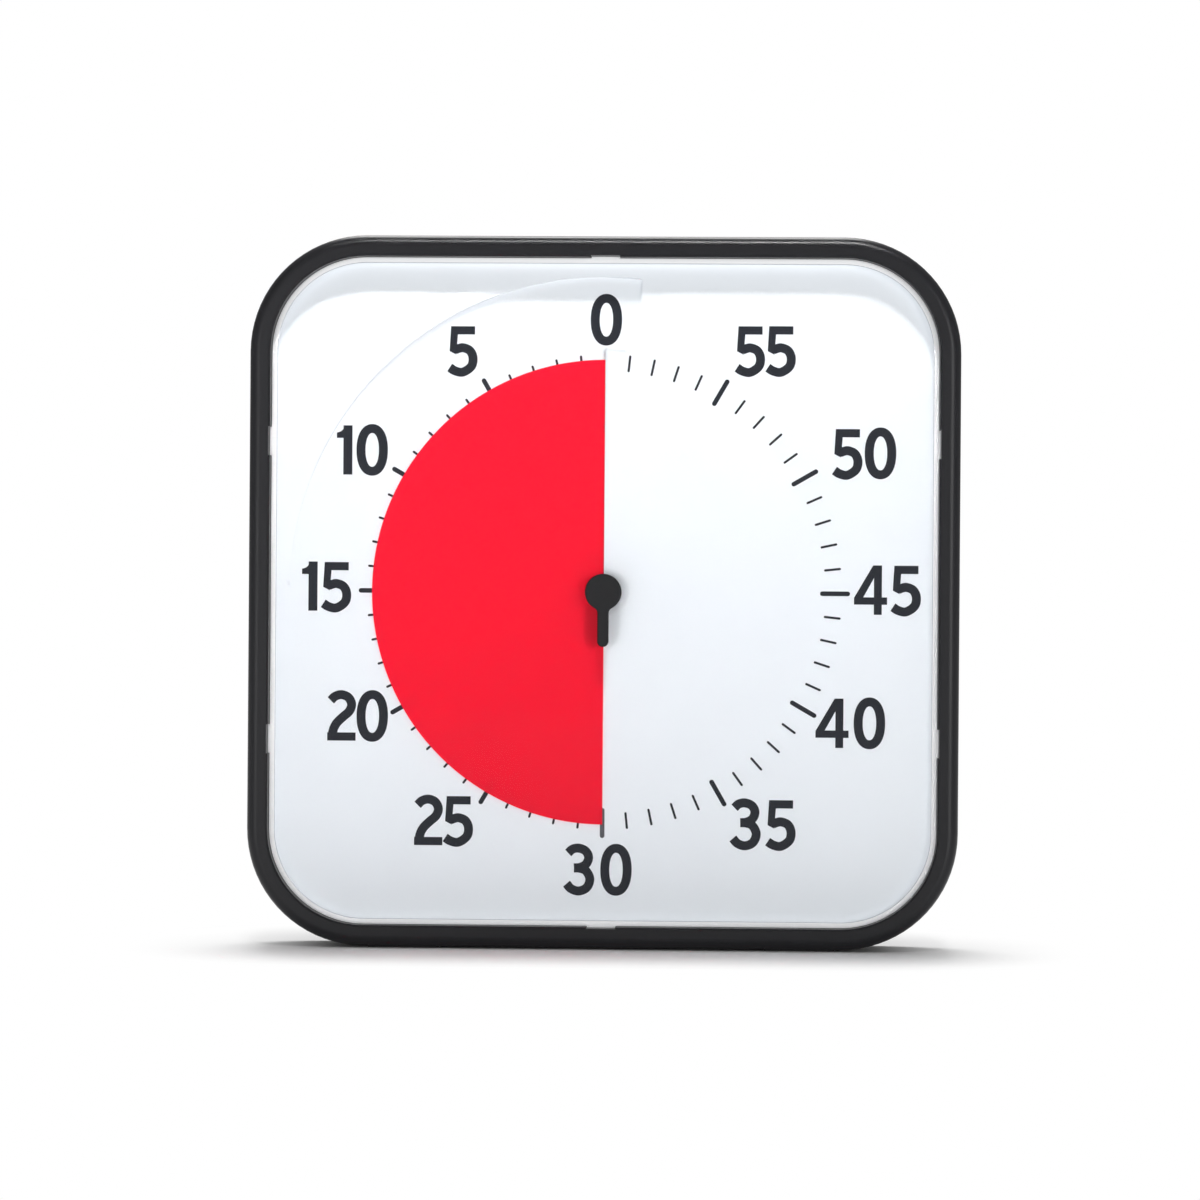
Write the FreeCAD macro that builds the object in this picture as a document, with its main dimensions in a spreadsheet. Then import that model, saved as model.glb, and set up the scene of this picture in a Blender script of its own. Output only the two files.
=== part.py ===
"""Visual countdown timer: a square frame, a spiral dial and a red disc that winds out of a slit.

Frame: X right as seen from the front, Z up, the dial faces -Y. The origin is at the centre of
the base. A station is a depth measured back from the front plane of the bezel.
"""
import FreeCAD
import Part
import Sketcher
import math
import os

Vector = FreeCAD.Vector

# driving dimensions, in millimetres and degrees
DIMENSIONS = {
    "FaceSize": 305.0,
    "FaceCorner": 50.0,
    "Depth": 44.0,
    "FootHeight": 0.6,
    "RailWidth": 9.0,
    "BezelDepth": 14.0,
    "EdgeRound": 4.5,
    "LipChamfer": 0.8,
    "SeatStation": 8.6,
    "SeatMargin": 5.5,
    "BossStation": 9.0,
    "BackBevel": 2.0,
    "ShellWall": 2.5,
    "LensStation": 6.3,
    "LensThick": 1.5,
    "LensGap": 0.2,
    "LensSkirt": 2.1,
    "LensHole": 4.8,
    "BarbStation": 8.9,
    "BarbReach": 1.4,
    "TabLength": 12.0,
    "TabReach": 0.55,
    "TabGap": 0.2,
    "TabSpread": 64.0,
    "DialStation": 10.3,
    "DialThick": 1.2,
    "DialMargin": 6.0,
    "DialHole": 6.5,
    "RampFoot": 101.0,
    "RampRadius": 135.5,
    "RampSweep": 90.0,
    "LipRadius": 104.0,
    "StepAngle": 6.9,
    "Lead": 2.4,
    "DiscRadius": 100.0,
    "DiscThick": 0.5,
    "DiscGap": 0.35,
    "HubRadius": 5.5,
    "ShaftRadius": 3.0,
    "ShaftFlat": 2.4,
    "TailRadius": 1.5,
    "Running": 0.05,
    "KnobRadius": 7.8,
    "KnobStation": 0.4,
    "KnobThick": 5.2,
    "HandleWidth": 4.8,
    "HandleReach": 23.5,
    "MoveSize": 56.0,
    "MoveStation": 17.5,
    "MoveSplit": 24.0,
    "MoveBack": 33.0,
    "MoveWall": 1.2,
    "PivotHole": 0.65,
    "PostRadius": 3.0,
    "PostSpread": 32.0,
    "MoveScrew": 1.25,
    "Module": 0.4,
    "BayCentre": -78.0,
    "BayStation": 26.1,
    "BayHalfLength": 31.5,
    "BayHalfWidth": 10.0,
    "BayWall": 2.0,
    "DoorThick": 2.0,
    "DoorLedge": 4.5,
    "DoorGap": 0.3,
    "CellStation": 34.5,
    "BatteryRadius": 7.1,
    "BatteryLength": 50.0,
    "ColumnSpread": 134.3,
    "ColumnRadius": 3.2,
    "ScrewRadius": 1.5,
    "HeadHole": 2.9,
    "HeadDepth": 8.0,
    "KeyholeHeight": 118.0,
    "KeyholeRadius": 4.5,
    "KeyholeSlot": 2.25,
    "KeyholeRise": 10.0,
}

doc = FreeCAD.newDocument("CountdownTimer")
sheet = doc.addObject("Spreadsheet::Sheet", "Dims")
for row, (alias, number) in enumerate(DIMENSIONS.items(), start=1):
    sheet.set(f"A{row}", alias)
    sheet.set(f"B{row}", str(number))
    sheet.setAlias(f"B{row}", alias)
doc.recompute()


class Size:
    """A length or angle, with the spreadsheet formula that gives it."""

    def __init__(self, value, formula=None):
        self.value = float(value)
        self.formula = formula or repr(float(value))

    def combine(self, other, sign, value):
        formula = other.formula if isinstance(other, Size) else repr(float(other))
        return Size(value, f"({self.formula} {sign} {formula})")

    def __add__(self, other):
        return self.combine(other, "+", self.value + number(other))

    def __sub__(self, other):
        return self.combine(other, "-", self.value - number(other))

    def __mul__(self, other):
        return self.combine(other, "*", self.value * number(other))

    def __truediv__(self, other):
        return self.combine(other, "/", self.value / number(other))

    def __neg__(self):
        return Size(-self.value, f"(0 - {self.formula})")


def number(size):
    return size.value if isinstance(size, Size) else float(size)


def dim(alias):
    return Size(float(sheet.get(alias)), f"Dims.{alias}")


def bind(thing, path, size):
    """Set a property and, where the size comes from the sheet, bind it to its cells."""
    if isinstance(size, Size):
        thing.setExpression(path, size.formula)


DIAL_HEIGHT = dim("FootHeight") + dim("FaceSize") / 2
HALF = dim("FaceSize") / 2
OPENING = HALF - dim("RailWidth")
OPENING_CORNER = dim("FaceCorner") - dim("RailWidth")


def depth_to_y(station):
    """The Y coordinate of a station."""
    return (station if isinstance(station, Size) else Size(station)) - dim("Depth") / 2


class Piece:
    """One moulded or turned piece: a PartDesign body drawn from the front, about the dial's centre."""

    def __init__(self, label):
        self.body = doc.addObject("PartDesign::Body", "Body_" + label)
        self.body.Label = label
        doc.recompute()
        self.count = 0

    def name(self, kind):
        self.count += 1
        return f"{self.body.Label}_{kind}_{self.count}"

    def plane(self, role):
        return next(f for f in self.body.Origin.OriginFeatures if f.Role == role)

    def sketch(self, station):
        """A sketch parallel to the dial, whose own origin is the dial's centre."""
        sketch = self.body.newObject("Sketcher::SketchObject", self.name("Sketch"))
        sketch.AttachmentSupport = (self.plane("XZ_Plane"), [""])
        sketch.MapMode = "FlatFace"
        offset = -depth_to_y(station)
        sketch.AttachmentOffset = FreeCAD.Placement(
            Vector(0, DIAL_HEIGHT.value, offset.value), FreeCAD.Rotation())
        bind(sketch, "AttachmentOffset.Base.y", DIAL_HEIGHT)
        bind(sketch, "AttachmentOffset.Base.z", offset)
        return sketch

    def pad(self, sketch, length):
        """Material from the sketch's station backwards."""
        pad = self.body.newObject("PartDesign::Pad", self.name("Pad"))
        pad.Profile = sketch
        pad.Length = number(length)
        bind(pad, "Length", length)
        pad.Reversed = True
        doc.recompute()
        return pad

    def pocket(self, sketch, length):
        """A cut from the sketch's station backwards."""
        before = self.body.Shape.Volume
        pocket = self.body.newObject("PartDesign::Pocket", self.name("Pocket"))
        pocket.Profile = sketch
        pocket.Length = number(length)
        bind(pocket, "Length", length)
        doc.recompute()
        if not self.body.Shape.Volume < before - 0.01:
            raise RuntimeError(f"{pocket.Name} cuts nothing")
        return pocket

    def edges(self, test):
        shape = self.body.Tip.Shape
        return [f"Edge{i}" for i, edge in enumerate(shape.Edges, start=1) if test(edge)]

    def dress(self, kind, test, prop, size):
        """A fillet or chamfer on the edges that pass the test."""
        base = self.body.Tip
        names = self.edges(test)
        if not names:
            raise RuntimeError(f"no edges for the {kind} of {self.body.Label}")
        dress = self.body.newObject("PartDesign::" + kind, self.name(kind))
        dress.Base = (base, names)
        setattr(dress, prop, number(size))
        bind(dress, prop, size)
        doc.recompute()
        return dress

    def fillet(self, test, radius):
        return self.dress("Fillet", test, "Radius", radius)

    def chamfer(self, test, size):
        return self.dress("Chamfer", test, "Size", size)


def at_station(edge, station):
    """Whether an edge lies in the plane of a station."""
    box = edge.BoundBox
    level = number(depth_to_y(station))
    return abs(box.YMin - level) < 0.01 and abs(box.YMax - level) < 0.01


def reach(edge):
    """How far an edge lies from the dial's centre, along X or Z, whichever is more."""
    box = edge.BoundBox
    return max(abs(box.XMin), abs(box.XMax), abs(box.ZMin - DIAL_HEIGHT.value),
               abs(box.ZMax - DIAL_HEIGHT.value))


def constrain(sketch, constraint, size, name):
    index = sketch.addConstraint(constraint)
    sketch.renameConstraint(index, name)
    bind(sketch, "Constraints." + name, size)


def centre_at(sketch, index, x, z, tag):
    """Hold the centre of a circle or arc at x, z."""
    if number(x) == 0 and number(z) == 0:
        sketch.addConstraint(Sketcher.Constraint("Coincident", index, 3, -1, 1))
        return
    constrain(sketch, Sketcher.Constraint("DistanceX", -1, 1, index, 3, number(x)), x, f"x{tag}")
    constrain(sketch, Sketcher.Constraint("DistanceY", -1, 1, index, 3, number(z)), z, f"z{tag}")


def circle(sketch, radius, x=0, z=0):
    index = sketch.addGeometry(
        Part.Circle(Vector(number(x), number(z), 0), Vector(0, 0, 1), number(radius)))
    constrain(sketch, Sketcher.Constraint("Radius", index, number(radius)), radius, f"r{index}")
    centre_at(sketch, index, x, z, index)


def corners(sketch, left, low, right, high):
    """A rectangle between two corners, held by its sides' distances from the origin."""
    x0, z0, x1, z1 = (number(v) for v in (left, low, right, high))
    points = [Vector(x0, z0, 0), Vector(x1, z0, 0), Vector(x1, z1, 0), Vector(x0, z1, 0)]
    first = sketch.GeometryCount
    for i in range(4):
        sketch.addGeometry(Part.LineSegment(points[i], points[(i + 1) % 4]))
    for i in range(4):
        sketch.addConstraint(
            Sketcher.Constraint("Coincident", first + i, 2, first + (i + 1) % 4, 1))
        kind = "Horizontal" if i % 2 == 0 else "Vertical"
        sketch.addConstraint(Sketcher.Constraint(kind, first + i))
    for kind, line, size, tag in (("DistanceX", 0, left, "left"), ("DistanceY", 0, low, "low"),
                                  ("DistanceX", 2, right, "right"), ("DistanceY", 2, high, "high")):
        constrain(sketch, Sketcher.Constraint(kind, -1, 1, first + line, 1, number(size)), size,
                  f"{tag}{first}")


def rounded(sketch, half_x, half_z, radius, x=0, z=0):
    """A rectangle with round corners about x, z."""
    hx, hz, r, cx, cz = (number(v) for v in (half_x, half_z, radius, x, z))
    first = sketch.GeometryCount
    signs = ((1, 1), (-1, 1), (-1, -1), (1, -1))
    for i, (sx, sz) in enumerate(signs):
        middle = Vector(cx + sx * (hx - r), cz + sz * (hz - r), 0)
        arc = Part.Circle(middle, Vector(0, 0, 1), r)
        sketch.addGeometry(Part.ArcOfCircle(arc, i * math.pi / 2, (i + 1) * math.pi / 2))
    for i, (sx, sz) in enumerate(signs):
        start = sketch.getPoint(first + i, 2)
        end = sketch.getPoint(first + (i + 1) % 4, 1)
        sketch.addGeometry(Part.LineSegment(start, end))
    for i in range(4):
        line = first + 4 + i
        sketch.addConstraint(Sketcher.Constraint("Tangent", first + i, 2, line, 1))
        sketch.addConstraint(Sketcher.Constraint("Tangent", line, 2, first + (i + 1) % 4, 1))
        kind = "Horizontal" if i % 2 == 0 else "Vertical"
        sketch.addConstraint(Sketcher.Constraint(kind, line))
    for i in range(3):
        sketch.addConstraint(Sketcher.Constraint("Equal", first + i, first + i + 1))
    constrain(sketch, Sketcher.Constraint("Radius", first, r), radius, f"radius{first}")
    zero = Size(0)
    for kind, arc, size, tag in (
            ("DistanceX", 0, zero + x + half_x - radius, "right"),
            ("DistanceY", 0, zero + z + half_z - radius, "top"),
            ("DistanceX", 2, zero + x - half_x + radius, "left"),
            ("DistanceY", 2, zero + z - half_z + radius, "bottom")):
        constrain(sketch, Sketcher.Constraint(kind, -1, 1, first + arc, 3, size.value), size,
                  f"{tag}{first}")


def box(label, low, high):
    """A Part box between two corners, each an (x, station, height above the dial's centre)."""
    solid = doc.addObject("Part::Box", label)
    solid.Label = label
    for i, (prop, axis) in enumerate((("Length", "x"), ("Width", "y"), ("Height", "z"))):
        start = Size(0) + low[i]
        length = (Size(0) + high[i]) - low[i]
        place = depth_to_y(start) if axis == "y" else start
        if axis == "z":
            place = start + DIAL_HEIGHT
        bind(solid, prop, length)
        bind(solid, "Placement.Base." + axis, place)
    return solid


AXES = {"x": (Vector(0, 1, 0), 90), "y": (Vector(1, 0, 0), -90), "z": (Vector(0, 0, 1), 0)}


def cylinder(label, radius, start, length, axis="y"):
    """A Part cylinder from a start point (x, station, height) along X, back along Y, or up Z."""
    solid = doc.addObject("Part::Cylinder", label)
    solid.Label = label
    bind(solid, "Radius", Size(0) + radius)
    bind(solid, "Height", Size(0) + length)
    about, angle = AXES[axis]
    solid.Placement = FreeCAD.Placement(Vector(0, 0, 0), FreeCAD.Rotation(about, angle))
    bind(solid, "Placement.Base.x", Size(0) + start[0])
    bind(solid, "Placement.Base.y", depth_to_y(start[1]))
    bind(solid, "Placement.Base.z", DIAL_HEIGHT + start[2])
    return solid


def join(kind, label, parts):
    """A Part fuse, or a cut of the later parts from the first."""
    if kind == "fuse":
        result = doc.addObject("Part::MultiFuse", label)
        result.Shapes = parts
    else:
        result = doc.addObject("Part::Cut", label)
        result.Base = parts[0]
        result.Tool = parts[1] if len(parts) == 2 else join("fuse", label + "_tools", parts[1:])
    result.Label = label
    doc.recompute()
    return result


def feature(label, shape):
    """A sub-part whose shape Part's own functions make."""
    thing = doc.addObject("Part::Feature", label)
    thing.Shape = shape
    thing.Label = label
    return thing


def point(radius, angle, station):
    """A point at a radius and a dial angle: 0 at the top, counterclockwise from the front."""
    turn = math.radians(angle)
    return Vector(-radius * math.sin(turn), number(depth_to_y(station)),
                  DIAL_HEIGHT.value + radius * math.cos(turn))


def polygon(points):
    return Part.makePolygon(points + points[:1])


def swept_solid(outline, angles):
    """A solid through the sections outline(angle), lists of (radius, station), at each angle.

    Between two sections each side is split along its diagonal into two flat facets, so that a
    surface with a lead keeps its true height at every section and has few faces.
    """
    rings = [[point(r, a, s) for r, s in outline(a)] for a in angles]
    faces = [Part.Face(polygon(rings[0])), Part.Face(polygon(rings[-1]))]
    for near, far in zip(rings, rings[1:]):
        for i in range(len(near)):
            j = (i + 1) % len(near)
            faces.append(Part.Face(polygon([near[i], near[j], far[j]])))
            faces.append(Part.Face(polygon([near[i], far[j], far[i]])))
    return Part.makeSolid(Part.makeShell(faces))


def angles_between(first, last, step):
    count = max(1, round((last - first) / step))
    return [first + (last - first) * i / count for i in range(count + 1)]


# the frame


def tabs():
    """The places of the six lens tabs: x, height, and whether the tab's long side runs along X."""
    spread = dim("TabSpread")
    return [(Size(0), OPENING, True), (Size(0), -OPENING, True),
            (OPENING, spread, False), (OPENING, -spread, False),
            (-OPENING, spread, False), (-OPENING, -spread, False)]


def tab_sketch(sketch, gap, inward, outward):
    """Rectangles across the opening's edge at the six tabs."""
    half = dim("TabLength") / 2 + gap
    for x, z, along_x in tabs():
        if along_x:
            side = 1 if z.value > 0 else -1
            near, far = z - inward * side, z + outward * side
            corners(sketch, -half, near if side > 0 else far, half, far if side > 0 else near)
        else:
            side = 1 if x.value > 0 else -1
            near, far = x - inward * side, x + outward * side
            corners(sketch, near if side > 0 else far, z - half, far if side > 0 else near, z + half)


def front_bezel():
    piece = Piece("front_bezel")
    outline = piece.sketch(0)
    rounded(outline, HALF, HALF, dim("FaceCorner"))
    piece.pad(outline, dim("BezelDepth"))
    piece.fillet(lambda e: at_station(e, 0), dim("EdgeRound"))
    opening = piece.sketch(0)
    rounded(opening, OPENING, OPENING, OPENING_CORNER)
    piece.pocket(opening, dim("BezelDepth"))
    piece.chamfer(lambda e: at_station(e, 0) and reach(e) < OPENING.value + 0.1, dim("LipChamfer"))
    seat = piece.sketch(dim("SeatStation"))
    margin = dim("SeatMargin")
    rounded(seat, HALF - margin, HALF - margin, dim("FaceCorner") - margin)
    seat_depth = dim("BezelDepth") - dim("SeatStation")
    piece.pocket(seat, seat_depth)
    notches = piece.sketch(0)
    tab_sketch(notches, dim("TabGap"), 1.0, dim("TabReach") + dim("TabGap") / 2)
    piece.pocket(notches, dim("BezelDepth"))
    bosses = piece.sketch(dim("SeatStation"))
    for sx in (-1, 1):
        for sz in (-1, 1):
            circle(bosses, dim("ColumnRadius"), dim("ColumnSpread") * sx, dim("ColumnSpread") * sz)
    piece.pad(bosses, seat_depth)
    holes = piece.sketch(dim("BossStation"))
    for sx in (-1, 1):
        for sz in (-1, 1):
            circle(holes, dim("ScrewRadius"), dim("ColumnSpread") * sx, dim("ColumnSpread") * sz)
    piece.pocket(holes, dim("BezelDepth") - dim("BossStation"))
    return piece.body


def clear_lens():
    """A shallow tray: a flat window whose skirt stands on the dial and whose tabs hook the frame."""
    piece = Piece("clear_lens")
    half = OPENING - dim("LensGap")
    corner = OPENING_CORNER - dim("LensGap")
    window = piece.sketch(dim("LensStation"))
    rounded(window, half, half, corner)
    depth = dim("DialStation") - dim("LensStation")
    piece.pad(window, depth)
    inside = piece.sketch(dim("LensStation") + dim("LensThick"))
    skirt = dim("LensSkirt")
    rounded(inside, half - skirt, half - skirt, corner - skirt)
    piece.pocket(inside, depth - dim("LensThick"))
    hole = piece.sketch(dim("LensStation"))
    circle(hole, dim("LensHole"))
    piece.pocket(hole, depth)
    hooks = piece.sketch(dim("LensStation"))
    tab_sketch(hooks, 0, 1.0, dim("TabReach"))
    piece.pad(hooks, depth)
    barbs = piece.sketch(dim("BarbStation"))
    tab_sketch(barbs, 0, 1.0, dim("BarbReach"))
    piece.pad(barbs, dim("DialStation") - dim("BarbStation"))
    piece.chamfer(lambda e: at_station(e, dim("LensStation")) and reach(e) > 120
                  and e.Length > 30, 0.3)
    return piece.body


# the dial and its disc share one lead, so the disc can turn through the slit without touching


def ramp_level(radius, angle):
    """How far the dial's front lies behind its flat rim.

    Inside the ramp's foot it climbs one lead in a full turn. Across the ramp it blends to the
    recess, which rises to the rim over the ramp's sweep.
    """
    lead = number(dim("Lead"))
    foot, top = number(dim("RampFoot")), number(dim("RampRadius"))
    inner = lead * (1 - angle / 360)
    outer = lead * max(0.0, 1 - max(angle, 0) / number(dim("RampSweep")))
    share = min(1.0, max(0.0, (radius - foot) / (top - foot)))
    blend = share * share * (3 - 2 * share)
    return inner * (1 - blend) + outer * blend


def ring_section(radii):
    """The dial's section at an angle, over the given radii."""
    front, thick = number(dim("DialStation")), number(dim("DialThick"))

    def outline(angle):
        face = [(r, front + ramp_level(r, angle)) for r in radii]
        return face + [(r, s + thick) for r, s in reversed(face)]

    return outline


def dial_plate():
    front, thick = number(dim("DialStation")), number(dim("DialThick"))
    foot, top = number(dim("RampFoot")), number(dim("RampRadius"))
    hole, lip = number(dim("DialHole")), number(dim("LipRadius"))
    lead, step = number(dim("Lead")), number(dim("StepAngle"))
    deep = front + lead + thick
    stop = 360 - step
    turn = angles_between(0, stop, 5)
    blend = [foot + (top - foot) * share for share in (0, 0.2, 0.4, 0.6, 0.8, 1)]
    spiral = swept_solid(ring_section([hole] + blend), turn)
    # the strip between the step and the slit is the lip that the disc goes behind
    lip_turn = angles_between(stop, 360, step)
    tongue = swept_solid(ring_section([hole, lip - thick]), lip_turn)
    floor_turn = angles_between(-step, 0, step)
    floor = swept_solid(lambda a: [(lip - thick, deep - thick), (top, deep - thick),
                                   (top, deep), (lip - thick, deep)], floor_turn)
    lip_wall = swept_solid(lambda a: [(lip - thick, front + lead * (1 - (a + 360) / 360)),
                                      (lip, front), (lip, deep), (lip - thick, deep)], floor_turn)
    side_turn = [-step - 0.8, -step]
    side_wall = swept_solid(lambda a: [(lip - thick, front + 0.1), (top, front + 0.1),
                                       (top, deep), (lip - thick, deep)], side_turn)
    wall_turn = [-step - 0.8] + floor_turn + angles_between(0, number(dim("RampSweep")), 5)[1:]
    rim_wall = swept_solid(lambda a: [(top, front), (top + 1.4, front),
                                      (top + 1.4, deep), (top, deep)], wall_turn)
    rim = [point(top, a, front) for a in turn + floor_turn[:-1]]
    margin = number(HALF - dim("DialMargin"))
    corner = number(dim("FaceCorner") - dim("DialMargin"))
    sheet_edge = rounded_wire(margin, corner, front)
    plate = Part.Face([sheet_edge, polygon(rim)])
    plate.validate()
    plate = plate.extrude(Vector(0, thick, 0))
    whole = plate.multiFuse([spiral, tongue, floor, lip_wall, side_wall, rim_wall])
    spread = number(dim("ColumnSpread"))
    for sx in (-1, 1):
        for sz in (-1, 1):
            start = Vector(sx * spread, number(depth_to_y(front - 1)), DIAL_HEIGHT.value + sz * spread)
            whole = whole.cut(Part.makeCylinder(number(dim("ColumnRadius")) + 0.4, thick + 2, start,
                                                Vector(0, 1, 0)))
    return feature("dial_plate", whole)


def rounded_wire(half, radius, station):
    """A square with round corners, as one wire."""
    y = number(depth_to_y(station))
    height = DIAL_HEIGHT.value
    edges = []
    for i in range(4):
        turn = i * math.pi / 2
        middle_x = (half - radius) * math.sqrt(2) * math.cos(turn + math.pi / 4)
        middle_z = (half - radius) * math.sqrt(2) * math.sin(turn + math.pi / 4)
        arc = [Vector(middle_x + radius * math.cos(turn + part), y,
                      height + middle_z + radius * math.sin(turn + part))
               for part in (0, math.pi / 4, math.pi / 2)]
        edges.append(Part.Arc(*arc).toShape())
    links = [Part.LineSegment(edges[i].Vertexes[-1].Point, edges[(i + 1) % 4].Vertexes[0].Point)
             for i in range(4)]
    return Part.Wire([e for pair in zip(edges, [k.toShape() for k in links]) for e in pair])


def red_disc():
    """One full turn of film at the dial's lead, half of it wound out: 30 minutes are left."""
    lead, gap = number(dim("Lead")), number(dim("DiscGap"))
    thick, front = number(dim("DiscThick")), number(dim("DialStation"))
    inner, outer = number(dim("HubRadius")), number(dim("DiscRadius"))

    def outline(angle):
        back = front + lead * (1 - angle / 360) - gap
        return [(inner, back - thick), (outer, back - thick), (outer, back), (inner, back)]

    return feature("red_disc", swept_solid(outline, angles_between(-180, 180, 3)))


def disc_hub():
    """A sleeve that slides on the shaft's flat, so that it turns with the shaft."""
    piece = Piece("disc_hub")
    start = dim("DialStation") - 0.6
    barrel = piece.sketch(start)
    circle(barrel, dim("HubRadius"))
    piece.pad(barrel, dim("Lead") * 2 + 0.4)
    bore = piece.sketch(start)
    flatted(bore, dim("ShaftRadius") + dim("Running"), dim("ShaftFlat") + dim("Running"))
    piece.pocket(bore, dim("Lead") * 2 + 0.4)
    return piece.body


def flatted(sketch, radius, flat):
    """A circle with a flat above it."""
    r, f = number(radius), number(flat)
    start = math.asin(f / r)
    arc = Part.Circle(Vector(0, 0, 0), Vector(0, 0, 1), r)
    first = sketch.addGeometry(Part.ArcOfCircle(arc, math.pi - start, 2 * math.pi + start))
    half = r * math.cos(start)
    line = sketch.addGeometry(Part.LineSegment(Vector(half, f, 0), Vector(-half, f, 0)))
    sketch.addConstraint(Sketcher.Constraint("Coincident", first, 2, line, 1))
    sketch.addConstraint(Sketcher.Constraint("Coincident", line, 2, first, 1))
    sketch.addConstraint(Sketcher.Constraint("Coincident", first, 3, -1, 1))
    sketch.addConstraint(Sketcher.Constraint("Horizontal", line))
    constrain(sketch, Sketcher.Constraint("Radius", first, r), radius, "radius")
    constrain(sketch, Sketcher.Constraint("DistanceY", -1, 1, line, 1, f), flat, "flat")


def knob():
    """A round head with a pointer handle, and a neck through the lens."""
    piece = Piece("knob")
    head = piece.sketch(dim("KnobStation"))
    circle(head, dim("KnobRadius"))
    piece.pad(head, dim("KnobThick"))
    handle = piece.sketch(dim("KnobStation"))
    half = dim("HandleWidth") / 2
    straight = dim("HandleReach") - half
    corners(handle, -half, -straight, half, 0)
    piece.pad(handle, dim("KnobThick"))
    tip = piece.sketch(dim("KnobStation"))
    circle(tip, half, 0, -straight)
    piece.pad(tip, dim("KnobThick"))
    neck_line = number(dim("KnobRadius"))
    piece.fillet(lambda e: e.BoundBox.YLength > 4 and e.BoundBox.XLength < 0.01
                 and DIAL_HEIGHT.value - neck_line < e.BoundBox.ZMin < DIAL_HEIGHT.value - 4, 2.4)
    piece.chamfer(lambda e: at_station(e, dim("KnobStation")), 0.5)
    neck = piece.sketch(dim("KnobStation") + dim("KnobThick"))
    circle(neck, 4.2)
    piece.pad(neck, dim("LensThick") + 1.0)
    bore = piece.sketch(dim("KnobStation") + 2.0)
    flatted(bore, dim("ShaftRadius"), dim("ShaftFlat"))
    piece.pocket(bore, 12)
    return piece.body


def arbor():
    """The shaft: flatted in front for the knob and the hub, thin behind for the wheels."""
    piece = Piece("arbor")
    start = dim("KnobStation") + 2.0
    front = piece.sketch(start)
    flatted(front, dim("ShaftRadius"), dim("ShaftFlat"))
    piece.pad(front, dim("MoveStation") - start - 0.4)
    journal = piece.sketch(dim("MoveStation") - 0.4)
    circle(journal, dim("ShaftRadius"))
    piece.pad(journal, 2.9)
    tail = piece.sketch(dim("MoveStation") + 2.5)
    circle(tail, dim("TailRadius"))
    piece.pad(tail, dim("MoveBack") - dim("MoveStation") - 2.2)
    return piece.body


# the movement


WHEELS = {
    "third": (-9.617, 9.617),
    "fourth": (-13.448, -0.908),
    "rotor": (-9.344, -12.184),
}


def movement_front():
    piece = Piece("movement_front")
    half = dim("MoveSize") / 2
    wall = dim("MoveWall")
    depth = dim("MoveSplit") - dim("MoveStation")
    block = piece.sketch(dim("MoveStation"))
    rounded(block, half, half, 4)
    piece.pad(block, depth)
    piece.chamfer(lambda e: at_station(e, dim("MoveStation")), 0.6)
    hollow = piece.sketch(dim("MoveStation") + wall)
    rounded(hollow, half - wall, half - wall, Size(4) - wall)
    piece.pocket(hollow, depth - wall)
    pivots(piece, dim("MoveStation") + 0.6, wall - 0.6)
    bearing = piece.sketch(dim("MoveStation"))
    circle(bearing, dim("ShaftRadius") + dim("Running"))
    piece.pocket(bearing, wall)
    return piece.body


def pivots(piece, station, depth):
    """Blind holes in a wall of the movement for the pivots of the wheels."""
    sketch = piece.sketch(station)
    for x, z in WHEELS.values():
        circle(sketch, dim("PivotHole"), x, z)
    piece.pocket(sketch, depth)


def movement_back():
    piece = Piece("movement_back")
    half = dim("MoveSize") / 2
    wall = dim("MoveWall")
    depth = dim("MoveBack") - dim("MoveSplit")
    block = piece.sketch(dim("MoveSplit"))
    rounded(block, half, half, 4)
    piece.pad(block, depth)
    piece.chamfer(lambda e: at_station(e, dim("MoveBack")), 0.6)
    ears = piece.sketch(dim("MoveBack") - 2.0)
    rounded(ears, half + 8, 5, 4.9)
    piece.pad(ears, 2.0)
    hollow = piece.sketch(dim("MoveSplit"))
    rounded(hollow, half - wall, half - wall, Size(4) - wall)
    piece.pocket(hollow, depth - wall)
    pivots(piece, dim("MoveBack") - wall, wall - 0.6)
    holes = piece.sketch(dim("MoveSplit"))
    circle(holes, dim("TailRadius") + dim("Running"))
    circle(holes, dim("MoveScrew"), dim("PostSpread"), 0)
    circle(holes, dim("MoveScrew"), -dim("PostSpread"), 0)
    piece.pocket(holes, depth)
    return piece.body


def tooth_points(count, phase, slim):
    """The outline of a clock wheel: nearly radial roots, and tips that narrow above the pitch line."""
    module = number(dim("Module"))
    pitch = module * count / 2
    step = 360 / count
    thick = math.degrees(module * math.pi / 2 * slim / pitch)
    add, root = module * 0.9, module * 1.15
    shape = [(-0.5, pitch - root), (-0.48, pitch), (-0.2, pitch + add)]
    half = shape + [(-share, radius) for share, radius in reversed(shape)]
    return [(radius, phase + step * i + thick * share) for i in range(count) for share, radius in half]


def gear(count, phase, slim, x, z, station, thick, bore=0):
    """A toothed wheel about x, z, seen from the front, with angles counted from +X."""
    y = number(depth_to_y(station))
    height = DIAL_HEIGHT.value
    points = [Vector(x + r * math.cos(math.radians(a)), y, height + z + r * math.sin(math.radians(a)))
              for r, a in tooth_points(count, phase, slim)]
    wires = [polygon(points)]
    if bore:
        hole = Part.makeCircle(bore, Vector(x, y, height + z), Vector(0, 1, 0))
        wires.append(Part.Wire([hole]))
    face = Part.Face(wires)
    face.validate()
    return face.extrude(Vector(0, thick, 0))


def rod(radius, x, z, start, end):
    base = Vector(x, number(depth_to_y(start)), DIAL_HEIGHT.value + z)
    return Part.makeCylinder(radius, end - start, base, Vector(0, 1, 0))


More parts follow.
